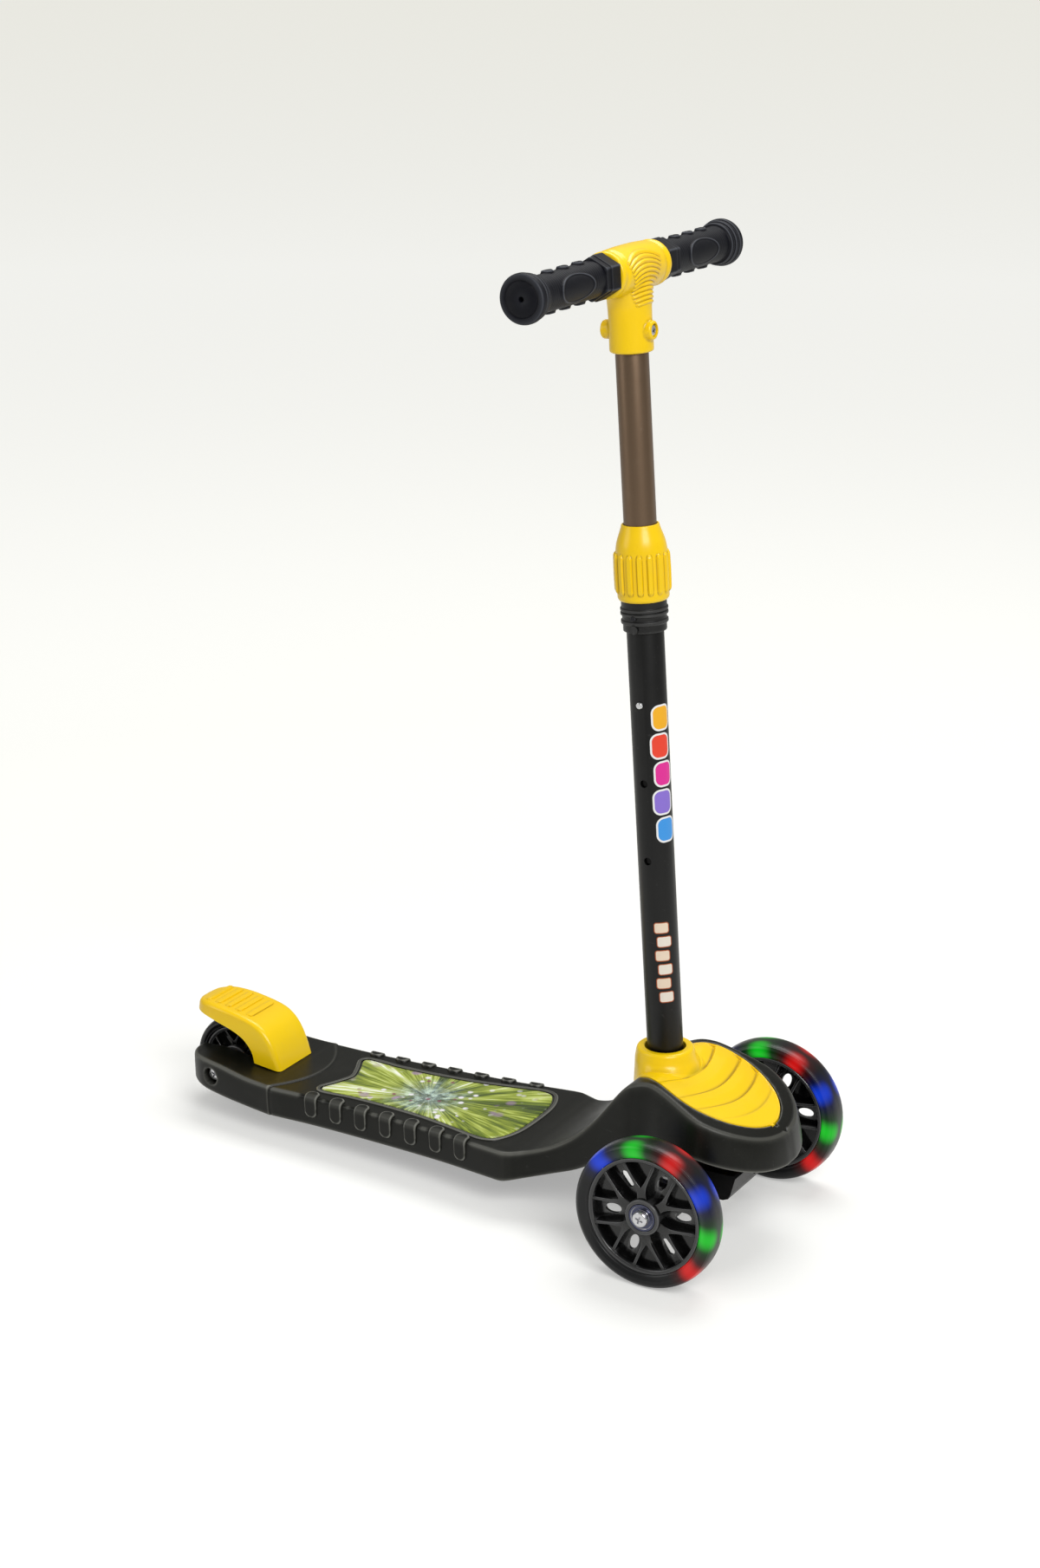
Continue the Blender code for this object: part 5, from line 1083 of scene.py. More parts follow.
coverShape = {
    "wall": 2.6, "collarFoot": 27.5, "rows": 170, "start": 0.015, "swell": 1.6, "skirt": 3.0, "lip": 0.45,
    # the collar's radii and heights over its crown, then how far each corner is softened
    "crown": 148.5, "collar": ((24.5, -9.0), (22.6, -1.2), (20.9, 0.0), (16.3, 0.0), (16.3, -20.0)),
    "collarSoft": (0, 2.5, 1.6, 1.0, 0.8, 0.5, 0), "skirtSoft": 1.1,
    "fluteRise": 9.0, "fluteFall": 2.6, "axisZ": 130.0, "tab": (50.5, 55.0, -7.6, -4.6, 99.6),
    "tabTop": (53, 0.2),
    # the edge's way in and points; the collar foot's way in, rise and fall in front; the dome's full swell
    "edge": (-0.35, 300), "collarIn": 1.5, "collarRise": 1.2, "collarFall": 3.4, "fullSwell": 40,
    # where the flutes set in, as shares of the dome, and y between which they deepen
    "fluteShares": ((0.0, 0.04), (1.0, 0.93)), "fluteSide": (-42, 22),
    # inside of the collar: wall and depth under the crown; height over which it starts to lean
    "collarInside": (4.1, 15), "leanFrom": 126, "leanOver": 10, "underShares": (0.75, 0.5, 0.25),
}


def flutes(x, y):
    # each one dips slowly over 9 mm and comes back up over 2.6 mm in front of its line
    depth = 0 * x
    for line, bend, middle, _, deep, left in coverCreases:
        d = x - (line - bend * (y - middle) ** 2)
        dip = ramp(d, -coverShape["fluteRise"], 0) * (1 - ramp(d, 0.0, coverShape["fluteFall"]))
        depth += deep * dip * (left + (1 - left) * ramp(y, *coverShape["fluteSide"]))
    return depth


def makeCover():
    shape = coverShape
    lean = math.tan(columnPlace["lean"])
    centre = columnPlace["x"] - (shape["axisZ"] - columnPlace["foot"]) * lean
    edge = coverOutline(*shape["edge"])
    turn = np.arctan2(edge[:, 1], edge[:, 0] - centre)
    reach = np.hypot(edge[:, 1], edge[:, 0] - centre)
    base = np.minimum(shape["collarFoot"], reach - shape["collarIn"])
    even = np.ones(len(edge))
    rim = topZ(centre + reach * np.cos(turn))
    foot = topZ(centre + base * np.cos(turn)) + shape["collarRise"]
    foot = foot - shape["collarFall"] * np.maximum(np.cos(turn), 0)

    def dome(share, drop=0.0):
        # straight from rim to collar foot, swelling by 1.6 sin(pi share)
        full = np.minimum((reach - base) / shape["fullSwell"], 1)
        swell = shape["swell"] * math.sin(math.pi * share) * full
        return np.stack([reach - share * (reach - base), rim + share * (foot - rim) + swell - drop], -1)

    shares = np.linspace(shape["start"], 1, shape["rows"])
    top = np.array([dome(share) for share in shares])
    starts, ends = shape["fluteShares"]
    fade = (ramp(shares, *starts) * ramp(shares, *ends))[:, None]
    top[..., 1] -= flutes(centre + top[..., 0] * np.cos(turn), top[..., 0] * np.sin(turn)) * fade
    lowRim = rim - shape["skirt"]
    skirt = np.array([np.stack([reach, lowRim], -1), np.stack([reach, rim + shape["lip"]], -1), top[0]])
    skirt = rounded(skirt, shape["skirtSoft"], steps=6)[:-1]
    crown = shape["crown"]
    collar = [top[-1]]
    collar += [np.stack([even * radius, even * (crown + up)], -1) for radius, up in shape["collar"]]
    thick, deep = shape["collarInside"]
    collar.append(np.stack([base - thick, np.minimum(foot, crown - deep) - thick], -1))
    collar = rounded(np.array(collar), shape["collarSoft"], steps=6)[1:]
    under = np.array([dome(share, shape["wall"] + 1.0) for share in shape["underShares"]])
    low = np.stack([reach - shape["wall"], lowRim], -1)[None]
    rows = np.concatenate([skirt, top, collar, under, low])
    radius, height = rows[..., 0], rows[..., 1]
    # the collar leans with the column
    shift = (height - shape["axisZ"]) * lean * np.clip((height - shape["leanFrom"]) / shape["leanOver"], 0, 1)
    points = np.stack([centre - shift + radius * np.cos(turn), radius * np.sin(turn), height], -1)
    cover = surface("noseCover", (toRow(points), True, True))
    # small tab at the front
    place, up = shape["tabTop"]
    combine(cover, "UNION", block(*shape["tab"], float(topZ(place)) + up))
    return finishPiece(cover, coverPlastic, "chassis", ["front_cover"], 42)


fenderShape = {
    "wall": 2.6, "shoulder": 4.6, "leastShoulder": 1.5, "count": 190,
    # points across the top, outside and inside, then round the shoulder and down the side
    "across": (48, 10), "down": 8, "turnStart": 0.12,
    # tread bars: where each starts, half length, taper at its ends, rise and width
    "bars": (-24.4, -13.8, -3.4, 6.9, 18.0), "barHalf": 17.5, "barEnd": 2.8, "barRise": 1.35, "barWide": 5.6,
    "barSlope": (0.72, 1.12),
    "hollowTrim": 5, "hollowDeeper": 8.0, "wheelRoom": (42.3, 14.0),
    # the lug round the brake pin and the shoe over the tyre
    "lug": 4.6, "lugHalf": 12.5, "lugTop": ((4.6, 62.0), (-4.6, 62.4)), "pinHole": (2.7, 30.0),
    "lugTurns": (180, 361, 10), "shoeTurns": (62, 109, 2),
    "fork": (9.0, 4.6, 9.0, 6.5),
    "shoe": 42.6, "shoeHalf": 9.0,
    "shoeTop": ((-470.0, 105.0), (-461.0, 104.0), (-442.0, 100.6), (-436.0, 99.2)),
}
# top line x, z, lower edge x, z and half width, measured from the rear axle's drawing place
fenderLine = np.array([
    (57.0, 58.2, 31.0, 61.4, 25.5), (53.0, 71.0, 28.5, 71.0, 25.5), (48.0, 82.0, 22.0, 79.5, 25.5),
    (41.0, 91.0, 14.5, 84.5, 25.5), (31.0, 97.4, 6.0, 88.0, 25.4), (14.0, 102.0, -3.0, 90.6, 25.2),
    (-5.0, 105.2, -14.0, 93.8, 24.6), (-20.0, 106.4, -24.5, 96.0, 22.0), (-30.0, 105.4, -31.5, 97.0, 16.6),
    (-34.2, 104.0, -34.6, 97.6, 9.0), (-35.2, 103.4, -35.4, 97.9, 0.0),
])


def fenderRings(inset, deeper=0.0):
    # rings across the fender: flat top with tread bars, rounded shoulder and side, then mirrored
    shape = fenderShape
    line = curveThrough(fenderLine, shape["count"])
    top, w = line[:, :2], np.maximum(line[:, 4] - inset, 0)
    down = line[:, 2:4] - top
    reach = np.hypot(*down.T)[:, None]
    down = down / reach
    radius = max(shape["shoulder"] - inset, shape["leastShoulder"])
    radius = np.minimum(np.minimum(radius, 0.5 * reach[:, 0]), w)
    y = (w - radius)[:, None] * np.linspace(0, 1, shape["across"][0 if inset == 0 else 1])
    d = inset + 0 * y
    if inset == 0:
        past = np.maximum(y - shape["barHalf"] + shape["barEnd"], 0) / shape["barEnd"]
        ends = np.clip(1 - past ** 2, 0, 1)
        for start in shape["bars"]:
            half = shape["barWide"] / 2
            near = np.abs(top[:, :1] - start - half) / (half * np.sqrt(ends) + 1e-6)
            d -= shape["barRise"] * (1 - ramp(near, *shape["barSlope"])) * (ends > 0)
    turn = np.linspace(shape["turnStart"], 1, shape["down"]) * math.pi / 2
    arcY = (w - radius)[:, None] + radius[:, None] * np.sin(turn)
    arcD = inset + radius[:, None] * (1 - np.cos(turn))
    t = np.linspace(0, 1, shape["down"])[1:]
    sideY, sideD = w[:, None] + 0 * t, arcD[:, -1:] + (reach + deeper - arcD[:, -1:]) * t
    y, d = np.concatenate([y, arcY, sideY], 1), np.concatenate([d, arcD, sideD], 1)
    half = np.stack([top[:, :1] + down[:, :1] * d + rearAxle[0], y, top[:, 1:] + down[:, 1:] * d], -1)
    return np.concatenate([half[:, :0:-1] * (1, -1, 1), half], 1)


def fenderSolid(name, rings):
    return surface(name, (toRow(shutEnds(rings)), False, True))


def makeFender():
    shape, (pinX, _, pinZ), trim = fenderShape, deckFit["brakePin"], fenderShape["hollowTrim"]
    fender = fenderSolid("fender", fenderRings(0.0))
    hollow = fenderSolid("hollow", fenderRings(shape["wall"], shape["hollowDeeper"])[trim:-trim])
    radius, half = shape["wheelRoom"]
    combine(fender, "DIFFERENCE", hollow, drill(radius, -half, half, "Y", rearAxle, count=128))
    lug = [(pinX + x, z) for x, z in shape["lugTop"]] + [
        (pinX + shape["lug"] * math.cos(a), pinZ + shape["lug"] * math.sin(a))
        for a in np.radians(np.arange(*shape["lugTurns"]))
    ]
    shoe = [
        (rearAxle[0] + shape["shoe"] * math.cos(a), rearAxle[2] + shape["shoe"] * math.sin(a))
        for a in np.radians(np.arange(*shape["shoeTurns"]))
    ] + list(shape["shoeTop"])
    combine(
        fender, "UNION", prism(lug, -shape["lugHalf"], shape["lugHalf"], "XZ"),
        prism(shoe, -shape["shoeHalf"], shape["shoeHalf"], "XZ"),
    )
    wide, half, below, above = shape["fork"]
    combine(
        fender, "DIFFERENCE", through(*shape["pinHole"], deckFit["brakePin"]),
        block(pinX - wide, pinX + wide, -half, half, pinZ - below, pinZ + above),
    )
    return finishPiece(fender, fenderPlastic, "foot_brake", ["brake_fender"], 36)


makeDeck()
makePanel()
makeCover()
makeFender()
print("deck, cover and fender ready")


# column; lengths up the tube count from its foot
columnShape = {
    "tube": columnPlace["tubeRadius"], "wall": 1.5, "start": 4.0, "top": 442.0,
    "button": 370.2, "holePitch": 62.4, "holes": 3, "hole": 3.1, "holeDepth": (-22.0, -5.0),
    "slit": (26.0, 1.2),
    "upper": 12.5, "upperBore": 11.0, "upperStart": 190.0, "upperTop": 685.4, "height": 697.9, "bolt": 653.5,
    # the button stands this much out of the tube: pin, flange and their inner ends
    "buttonOut": 2.0, "pin": 2.9, "flange": 4.4, "flangeAt": (-9.7, -8.4),
}


def tubePiece(name, outer, inner, low, high):
    section = rounded([(outer, low), (outer, high), (inner, high), (inner, low)], 0.35, True, 3)
    return turnedPiece(name, section, 96, place=columnToRow, ring=True)


def buttonHole(k=0):
    up = columnShape["button"] - k * columnShape["holePitch"]
    return drill(columnShape["hole"], *columnShape["holeDepth"], "Y", (0, 0, up), columnToRow)


def makeLowerTube():
    shape = columnShape
    tube = tubePiece("lowerTube", shape["tube"], shape["tube"] - shape["wall"], shape["start"], shape["top"])
    depth, half = shape["slit"]
    slit = block(-30, 0, -half, half, shape["top"] - depth, shape["top"] + 5, columnToRow)
    combine(tube, "DIFFERENCE", *(buttonHole(k) for k in range(shape["holes"])), slit)
    return finishPiece(tube, tubeBlack, "chassis", ["lower_tube"])


def makeUpperTube():
    shape = columnShape
    tube = tubePiece("upperTube", shape["upper"], shape["upperBore"], shape["upperStart"], shape["upperTop"])
    bolt = drill(2.75, -30, 30, "X", (0, 0, shape["bolt"]), columnToRow)
    combine(tube, "DIFFERENCE", buttonHole(), bolt)
    return finishPiece(tube, bronzeTube, "stem", ["upper_tube"])


def makeButton():
    # domed steel pin that stands out of the hole
    shape = columnShape
    face, (outer, inner) = -shape["tube"] - shape["buttonOut"], shape["flangeAt"]
    pin, flange = shape["pin"], shape["flange"]
    profile = [(0, face), (pin, face), (pin, outer), (flange, outer), (flange, inner), (0, inner)]
    profile = rounded(profile, [0, 2.2, 0.3, 0.2, 0.2, 0], steps=8)
    button = turnedPiece("snapButton", profile, 48, "Y", (0, 0, shape["button"]), columnToRow)
    return finishPiece(button, steelBright, "snap_button", ["snap_button"])


colletShape = {
    # radius over the tube's, height over its top: two thin rings, body, wider foot ring; then the bore
    "section": (
        (0.25, -15.4), (2.4, -15.4), (2.4, -9.6), (3.8, -9.2), (3.8, -6.8), (2.7, -6.4), (2.7, -3.0),
        (4.0, -2.6), (4.0, -0.8), (2.9, -0.4), (2.9, 0.4), (4.0, 0.8), (4.0, 2.6), (3.1, 3.0),
        (3.1, 44.0), (0.2, 54.0),
        (-1.5, 54.0), (-1.5, 0.3), (0.25, 0.3),
    ),
    "soft": 0.5, "step": 0.8, "count": 192,
    # slanted strokes beside the screw: slope, pitch, half width, reach on both sides and rise
    "facing": 66.0, "slope": (0.28, 0.9), "middle": -12.4, "phase": 3.3, "pitch": 2.6, "half": 0.55,
    "reach": 3.6, "rise": 0.55,
    "between": ((-15.0, -14.2), (-9.7, -10.6)), "slitUp": (18, 70), "slitTurns": (45, 135),
    "slit": 0.8, "screwBoss": (3.3, -4.1, -1.2, -12.2), "screwHole": (1.7, -9.0, 0.6, -3.4),
}


def makeCollet():
    shape, top, outer = colletShape, columnShape["top"], columnShape["tube"]
    section = rounded(np.array(shape["section"]) + (outer, top), shape["soft"], True, 4)
    grid = turned(finerLine(section, shape["step"], int), shape["count"])
    x, y, s = grid[..., 0], grid[..., 1], grid[..., 2]
    r, angle = np.hypot(x, y), np.degrees(np.arctan2(y, x))
    slopeRound, slopeUp = shape["slope"]
    lean = (angle + shape["facing"]) * slopeRound + (s - top - shape["middle"]) * slopeUp
    away = np.abs((lean + shape["phase"]) % shape["pitch"] - shape["pitch"] / 2)
    strokes = np.clip(1 - away / shape["half"], 0, 1) * (np.abs(lean) < shape["reach"])
    lower, upper = (ramp(s, top + start, top + stop) for start, stop in shape["between"])
    body = lower * upper * (r > outer + 2)
    grow = 1 + shape["rise"] * strokes * body / r
    collet = surface("clampCollet", (columnToRow(np.stack([x * grow, y * grow, s], -1)), True, True))
    radius, start, end, up = shape["screwBoss"]
    combine(collet, "UNION", drill(radius, start - outer, end - outer, "Y", (0, 0, top + up), columnToRow))
    half, (low, high) = shape["slit"], shape["slitUp"]
    slits = [
        block(-40, 40, -half, half, top + low, top + high, lambda points, a=a: columnToRow(spun(points, a)))
        for a in shape["slitTurns"]
    ]
    radius, start, end, up = shape["screwHole"]
    hole = drill(radius, start - outer, end - outer, "Y", (0, 0, top + up), columnToRow)
    combine(collet, "DIFFERENCE", *slits, hole)
    return finishPiece(collet, nylonPlastic, "chassis", ["collet"], 32)


knobShape = {
    "above": 8.7, "over": 5.3, "count": 448, "skin": 110,
    # radius over the barrel's and height over the foot, up to the dome, then how far each corner is softened
    "barrel": ((-0.9, 0.0), (0.1, 1.4), (0.5, 20.0), (0.1, 38.0), (-1.0, 44.5), (-4.4, 54.2), (-5.4, 57.8)),
    # radius and height of the opening at the top
    "mouth": ((13.0, 57.8), (13.0, 51.0)), "soft": (0, 1.0, 8, 4, 4, 2.2, 0.8, 0.5, 0),
    # radius over the tube's and height of the bore
    "bore": ((1.1, 46.2), (3.6, 35.4), (3.6, 0.0)),
    # ribs: how many, rise, flat and full half width, middle, straight half length and rounding of the ends
    "ribs": 16, "rise": 1.75, "flat": 1.35, "foot": 2.35, "middle": 21.2, "straight": 12.4, "end": 3.2,
}


def makeKnob():
    # ribs with rounded tops stand on a slightly swelling barrel under a dome
    shape, tube = knobShape, columnShape["tube"]
    low, body = columnShape["top"] + shape["above"], tube + shape["over"]
    skin = [(body + r, low + s) for r, s in shape["barrel"]] + [(r, low + s) for r, s in shape["mouth"]]
    skin = evenLine(rounded(skin, shape["soft"], steps=9), shape["skin"])
    bore = np.array(shape["bore"]) + (tube, low)
    grid = turned(np.concatenate([skin, bore]), shape["count"])
    x, y, s = grid[..., 0], grid[..., 1], grid[..., 2]
    pitch = math.tau / shape["ribs"]
    across = np.abs((np.arctan2(y, x) + pitch / 2) % pitch - pitch / 2) * body
    past = np.maximum(np.abs(s - low - shape["middle"]) - shape["straight"], 0) / shape["end"]
    along = np.sqrt(np.clip(1 - past ** 2, 0, 1))
    rib = shape["rise"] * (1 - ramp(across, shape["flat"] * along, shape["foot"] * along + 1e-6)) * along
    outside = np.arange(len(grid))[:, None] < shape["skin"]
    grow = 1 + np.where(outside, rib, 0) / np.hypot(x, y)
    knob = surface("clampKnob", (columnToRow(np.stack([x * grow, y * grow, s], -1)), True, True))
    return finishPiece(knob, yellowPlastic, "clamp_knob", ["clamp_knob"], 50)


jointShape = {
    "bottom": 637.3, "sleeve": 16.6, "barrel": 17.4,
    # sleeve: radius over its own and height over the bottom; barrel: radius over its own and half length
    "sleeveLine": ((0.0, 0.0), (-0.4, 28.0), (0.6, 46.0)), "sleeveSoft": (0, 1.4, 8, 8, 0, 0),
    "barrelEnd": 37.5,
    "barrelSoft": 1.1, "bossSoft": (0, 1.3, 1.3, 0),
    "barrelLine": (
        (0.0, 37.5), (0.1, 32.6), (-1.1, 31.6), (-0.9, 28.6), (0.2, 27.4), (0.85, 12.0), (0.92, 0.0),
    ),
    # bolt boss: radius, reach behind and in front of the sleeve
    "boss": (7.3, 6.2, 3.4),
    # web: half depth and what it loses, half width, what it gains and as which power, start and height
    "web": {"deep": 16.4, "less": 2.2, "wide": 16.4, "more": 11.6, "power": 2.2, "below": 31.0, "tall": 20.0},
    "voxel": 0.78, "smooth": (0.5, 16),
    # holes: bar, tube, bolt, recess of the head
    "barHole": 11.25, "tubeHole": (12.75, 9.0, 685.7), "boltHole": 2.75, "headHole": (5.0, 1.6, 0.5),
}
ridgeShape = {
    "rise": 1.15, "pitch": 2.95, "first": 671.0, "last": 706.5, "swing": 2.0, "widen": 0.13,
    # half width of the fan at heights up the tube, and how far its middle has moved to the left
    "heights": (668, 676, 690, 702, 714), "half": (10.5, 13.0, 18.0, 23.5, 26.0),
    "moved": ((672, 702), (0.0, -4.0)), "fade": 1.8, "sharp": 0.7,
    # the front where the mesh is made finer: least x, middle and half width, from and to
    "finer": (2.0, -2.0, 30.0, 668.0, 716.0),
}


def ridges(y, s):
    # arcs stacked up the front in a fan that widens: level q solves s = q + (2 + a (q - 671)) g,
    # a = 0.13 and g = 1 - ((y - middle) / half width)^2
    shape = ridgeShape
    first, widen = shape["first"], shape["widen"]
    half = np.interp(s, shape["heights"], shape["half"])
    y = y - np.interp(s, *shape["moved"])
    g = np.clip(1 - (y / half) ** 2, -0.4, 1)
    q = (s - shape["swing"] * g + first * widen * g) / (1 + widen * g)
    wave = (0.5 - 0.5 * np.cos((q - first) / shape["pitch"] * math.tau)) ** shape["sharp"]
    ends = ramp(q, first - 0.4, first + 0.4) * ramp(q, shape["last"] + 0.4, shape["last"] - 0.4)
    return wave * ramp(np.abs(y), half, half - shape["fade"]) * ends


def makeJoint():
    shape, height, at = jointShape, columnShape["height"], (0, 0, columnShape["bolt"])
    low, r, b = shape["bottom"], shape["sleeve"], shape["barrel"]
    sleeve = [(r + over, low + up) for over, up in shape["sleeveLine"]]
    sleeve = rounded([(0, low)] + sleeve + [(sleeve[-1][0], height), (0, height)], shape["sleeveSoft"])
    end = shape["barrelEnd"]
    half = [(0, end)] + [(b + over, out) for over, out in shape["barrelLine"]]
    barrel = rounded([(p, -h) for p, h in half] + [(p, h) for p, h in half[-2::-1]], shape["barrelSoft"])
    joint = turnedPiece("tJoint", sleeve, 64, place=columnToRow)
    barrel = turnedPiece("barrel", barrel, 96, "Y", (0, 0, height), columnToRow)
    radius, behind, front = shape["boss"]
    back, front = -r - behind, r + front
    boss = rounded([(0, back), (radius, back), (radius, front), (0, front)], shape["bossSoft"])
    combine(joint, "UNION", barrel, turnedPiece("boss", boss, 48, "X", at, columnToRow))
    # the sleeve widens along the bar as it meets the barrel: half width 16.4 + 11.6 t^2.2, t from 0 to 1
    web = shape["web"]
    t = np.linspace(0, 1, 24)[:, None]
    angle = np.linspace(0, math.tau, 72, endpoint=False)[None, :]
    sweep = np.stack([
        (web["deep"] - web["less"] * t) * np.cos(angle),
        (web["wide"] + web["more"] * t ** web["power"]) * np.sin(angle),
        height - web["below"] + web["tall"] * t + 0 * angle,
    ], -1)
    combine(joint, "UNION", surface("sweep", (columnToRow(shutEnds(sweep)), False, True)))
    remesh = joint.modifiers.new("even", "REMESH")
    remesh.mode, remesh.voxel_size = "VOXEL", toMetres(shape["voxel"])
    smooth = joint.modifiers.new("blend", "SMOOTH")
    smooth.factor, smooth.iterations = shape["smooth"]
    settle(joint)
    # finer faces where the ridges stand
    matrix = np.array(columnMatrix(0.0).inverted())
    back, middle, half, start, stop = ridgeShape["finer"]
    x, y, s = ((readItems(joint.data.vertices, "co", 3) @ matrix[:3, :3].T + matrix[:3, 3]) * 1000).T
    front = (x > back) & (np.abs(y - middle) < half) & (s > start) & (s < stop)
    chosen = np.flatnonzero(front[readItems(joint.data.edges, "vertices", 2, True)].all(1))
    work = bmesh.new()
    work.from_mesh(joint.data)
    work.edges.ensure_lookup_table()
    bmesh.ops.subdivide_edges(work, edges=[work.edges[k] for k in chosen], cuts=2, use_grid_fill=True)
    work.normal_update()
    work.to_mesh(joint.data)
    work.free()
    points = readItems(joint.data.vertices, "co", 3)
    x, y, s = ((points @ matrix[:3, :3].T + matrix[:3, 3]) * 1000).T
    lift = ridges(y, s) * (x > 0) * ridgeShape["rise"]
    points = points + readItems(joint.data.vertices, "normal", 3) * toMetres(lift)[:, None]
    joint.data.vertices.foreach_set("co", points.ravel())
    joint.data.update()
    tubeHole, under, up = shape["tubeHole"]
    head, frontIn, backIn = shape["headHole"]
    combine(
        joint, "DIFFERENCE",
        drill(shape["barHole"], -80, 80, "Y", (0, 0, height), columnToRow, 96),
        drill(tubeHole, low - under, up, "Z", (0, 0, 0), columnToRow, 96),
        drill(shape["boltHole"], -40, 40, "X", at, columnToRow),
        drill(head, r - frontIn, 40, "X", at, columnToRow),
        drill(head, -40, -r - backIn, "X", at, columnToRow),
    )
    return finishPiece(joint, yellowPlastic, "stem", ["t_joint"], 44)


gripShape = {
    "end": 155.2, "root": 38.0, "body": 13.5, "bore": 11.25, "columns": 240,
    # rows along the bar up to the end collars and over them, and the length those take
    "rows": (180, 70), "fineLength": 17.0,
    # radii at distances from the outer end, and how far each corner is softened
    "core": (
        (13.5, -16.6), (15.9, -15.6), (16.3, -12.4), (15.4, -11.6), (17.2, -10.9), (17.5, -7.6),
        (16.4, -6.8), (18.15, -6.0), (18.2, -2.2), (17.4, -0.6), (15.6, 0.0),
    ),
    "soft": (0, 1.8, 0.7, 0.7, 0.5, 0.7, 0.7, 0.5, 0.8, 1.6, 0.6, 0),
    # six-sided root in two steps: half across, how far along the bar and radius of its corners
    "hexagons": ((14.2, 19.0, 16.1), (14.9, 12.8, 17.0)),
    # oval studs on top and below: distance of the first from the end, step, half length, half width, rise
    "studs": (38.0, 21.5, 6.4, 4.2, 1.9),
    # large oval on the front: distance from the end, half length, half width, rise and width of its rim, fill
    "oval": (58.0, 23.0, 10.2, 0.8, 0.065, 0.3),
    "texture": (0.05, 9.0), "textured": ((22, 24), (19, 21), 1.1),
    # where the slopes of the studs and of the fill end, and the step behind each hexagon
    "studSlope": (0.74, 1.05), "fillSlope": (0.82, 1.0), "hexagonStep": 0.6,
    # cap: radius, distance from the end
    "cap": ((13.8, -0.1), (13.0, -0.7), (12.2, -0.1), (3.0, 0.0), (2.0, -0.5), (1.8, -4.0), (0.0, -4.0)),
    "boreEnd": 6.0,
}


def makeGrip(side, hand):
    # rows along the bar; the radius at (h, angle) is built up from simple forms
    shape = gripShape
    end, root, body = shape["end"], shape["root"], shape["body"]
    bend, (plainRows, fineRows) = end - shape["fineLength"], shape["rows"]
    h = np.concatenate([np.linspace(root, bend, plainRows), np.linspace(bend, end, fineRows)[1:]])[:, None]
    core = [(root, body)] + [(end + out, radius) for radius, out in shape["core"]]
    core = rounded(core, shape["soft"], steps=6)
    angle = (np.arange(shape["columns"]) / shape["columns"] * math.tau)[None, :]
    r = np.interp(h, core[:, 0], core[:, 1]) + 0 * angle
    hexagon = 1 / np.cos((angle + math.pi / 6) % (math.pi / 3) - math.pi / 6)
    for across, length, soft in shape["hexagons"]:
        stop, side6 = root + length, np.minimum(across * hexagon, soft)
        r = np.where(h < stop, r + (np.maximum(side6, r) - r) * ramp(h, stop, stop - shape["hexagonStep"]), r)

    def distanceRound(middle):
        # way round the body from an angle in degrees
        return np.radians((np.degrees(angle) - middle + 180) % 360 - 180) * body

    first, step, long, wide, rise = shape["studs"]
    for middle in (90.0, 270.0):
        for k in range(3):
            stud = np.hypot((h - (end - first - step * k)) / long, distanceRound(middle) / wide)
            r = r + rise * (1 - ramp(stud, *shape["studSlope"]))
    place, long, wide, rise, rim, fill = shape["oval"]
    oval = np.hypot((h - (end - place)) / long, distanceRound(0.0) / wide)
    r = r + rise * np.exp(-((oval - 1) / rim) ** 2) + fill * (1 - ramp(oval, *shape["fillSlope"]))
    rough, waves = shape["texture"]
    (low, high), (near, far), clear = shape["textured"]
    between = ramp(h, root + low, root + high) * ramp(h, end - near, end - far) * (oval > clear)
    r = r + rough * np.sin(h * waves) * between

    def ring(radius, at):
        # angle 0 faces forwards and 90 up
        turn = angle[0]
        return np.stack([radius * np.cos(turn), side * at + 0 * turn, radius * np.sin(turn)], -1)

    # the shell closes at both ends
    skin = np.stack([r * np.cos(angle), side * h + 0 * r, r * np.sin(angle)], -1)
    inner = end - shape["boreEnd"]
    bore = [ring(0.0, inner), ring(shape["bore"], inner), ring(shape["bore"], root)]
    cap = [ring(radius, end + out) for radius, out in shape["cap"]]
    grid = np.concatenate([np.array(bore), skin, np.array(cap)]) + (0, 0, columnShape["height"])
    grip = surface("grip" + hand, (columnToRow(grid), False, True))
    return finishPiece(grip, gripRubber, "stem", ["grip_" + hand.lower()], 40)


makeLowerTube()
makeUpperTube()
makeButton()
makeCollet()
makeKnob()
makeJoint()
makeGrip(1, "Left")
makeGrip(-1, "Right")
print("column ready")


# wheels, drawn about their own centres with the outer face towards +y
wheelShape = {
    "front": {
        "radius": 59.98, "width": 24.8, "rim": 47.55, "rimWall": 3.2, "hub": 14.6, "depth": 12.3,
        "groove": 4.7,
    },
    "rear": {
        "radius": 39.98, "width": 24.0, "rim": 30.85, "rimWall": 3.0, "hub": 14.4, "depth": 9.0,
        "groove": 0.0,
    },
    "phase": 36.0, "seat": 11.35, "bore": 6.6, "spokes": 6, "coreColumns": 160, "hubColumns": 80,
    # the web half way in: half thickness, and its windows' middle, half length and half width per rim
    "web": 1.3, "window": (0.68, 0.16, 0.088),
    "tyreColumns": 192, "tyreStep": 0.34, "grooveHalf": 4.4,
    # fine moulding lines: depth, width and where, from the tread and from the rim
    "line": (0.3, 0.24), "lineAt": (1.9, 1.3),
    "bearingWidth": 7.0, "bearingInset": 0.5, "tyreGap": 0.3, "grooveSoft": 0.3, "lineFrom": 4.5,
    # the rim's face, the slope behind it and the foot of that: ways in and heights; the hub's shoulder
    "rimFace": 2.5, "rimBack": (1.2, 3.2), "rimFoot": (0.5, 5.4), "rimSoft": 0.6, "hubShoulder": 7.6,
    "hubSoft": (0.5, 1.3, 1.3, 0.5, 0.1, 0.1, 0.1, 0.1), "webSoft": 0.1, "windowPoints": 32,
    "spokeRim": 45.9, "spokePoints": (20, 16), "spokeBevel": (0.6, 3, 50),
}
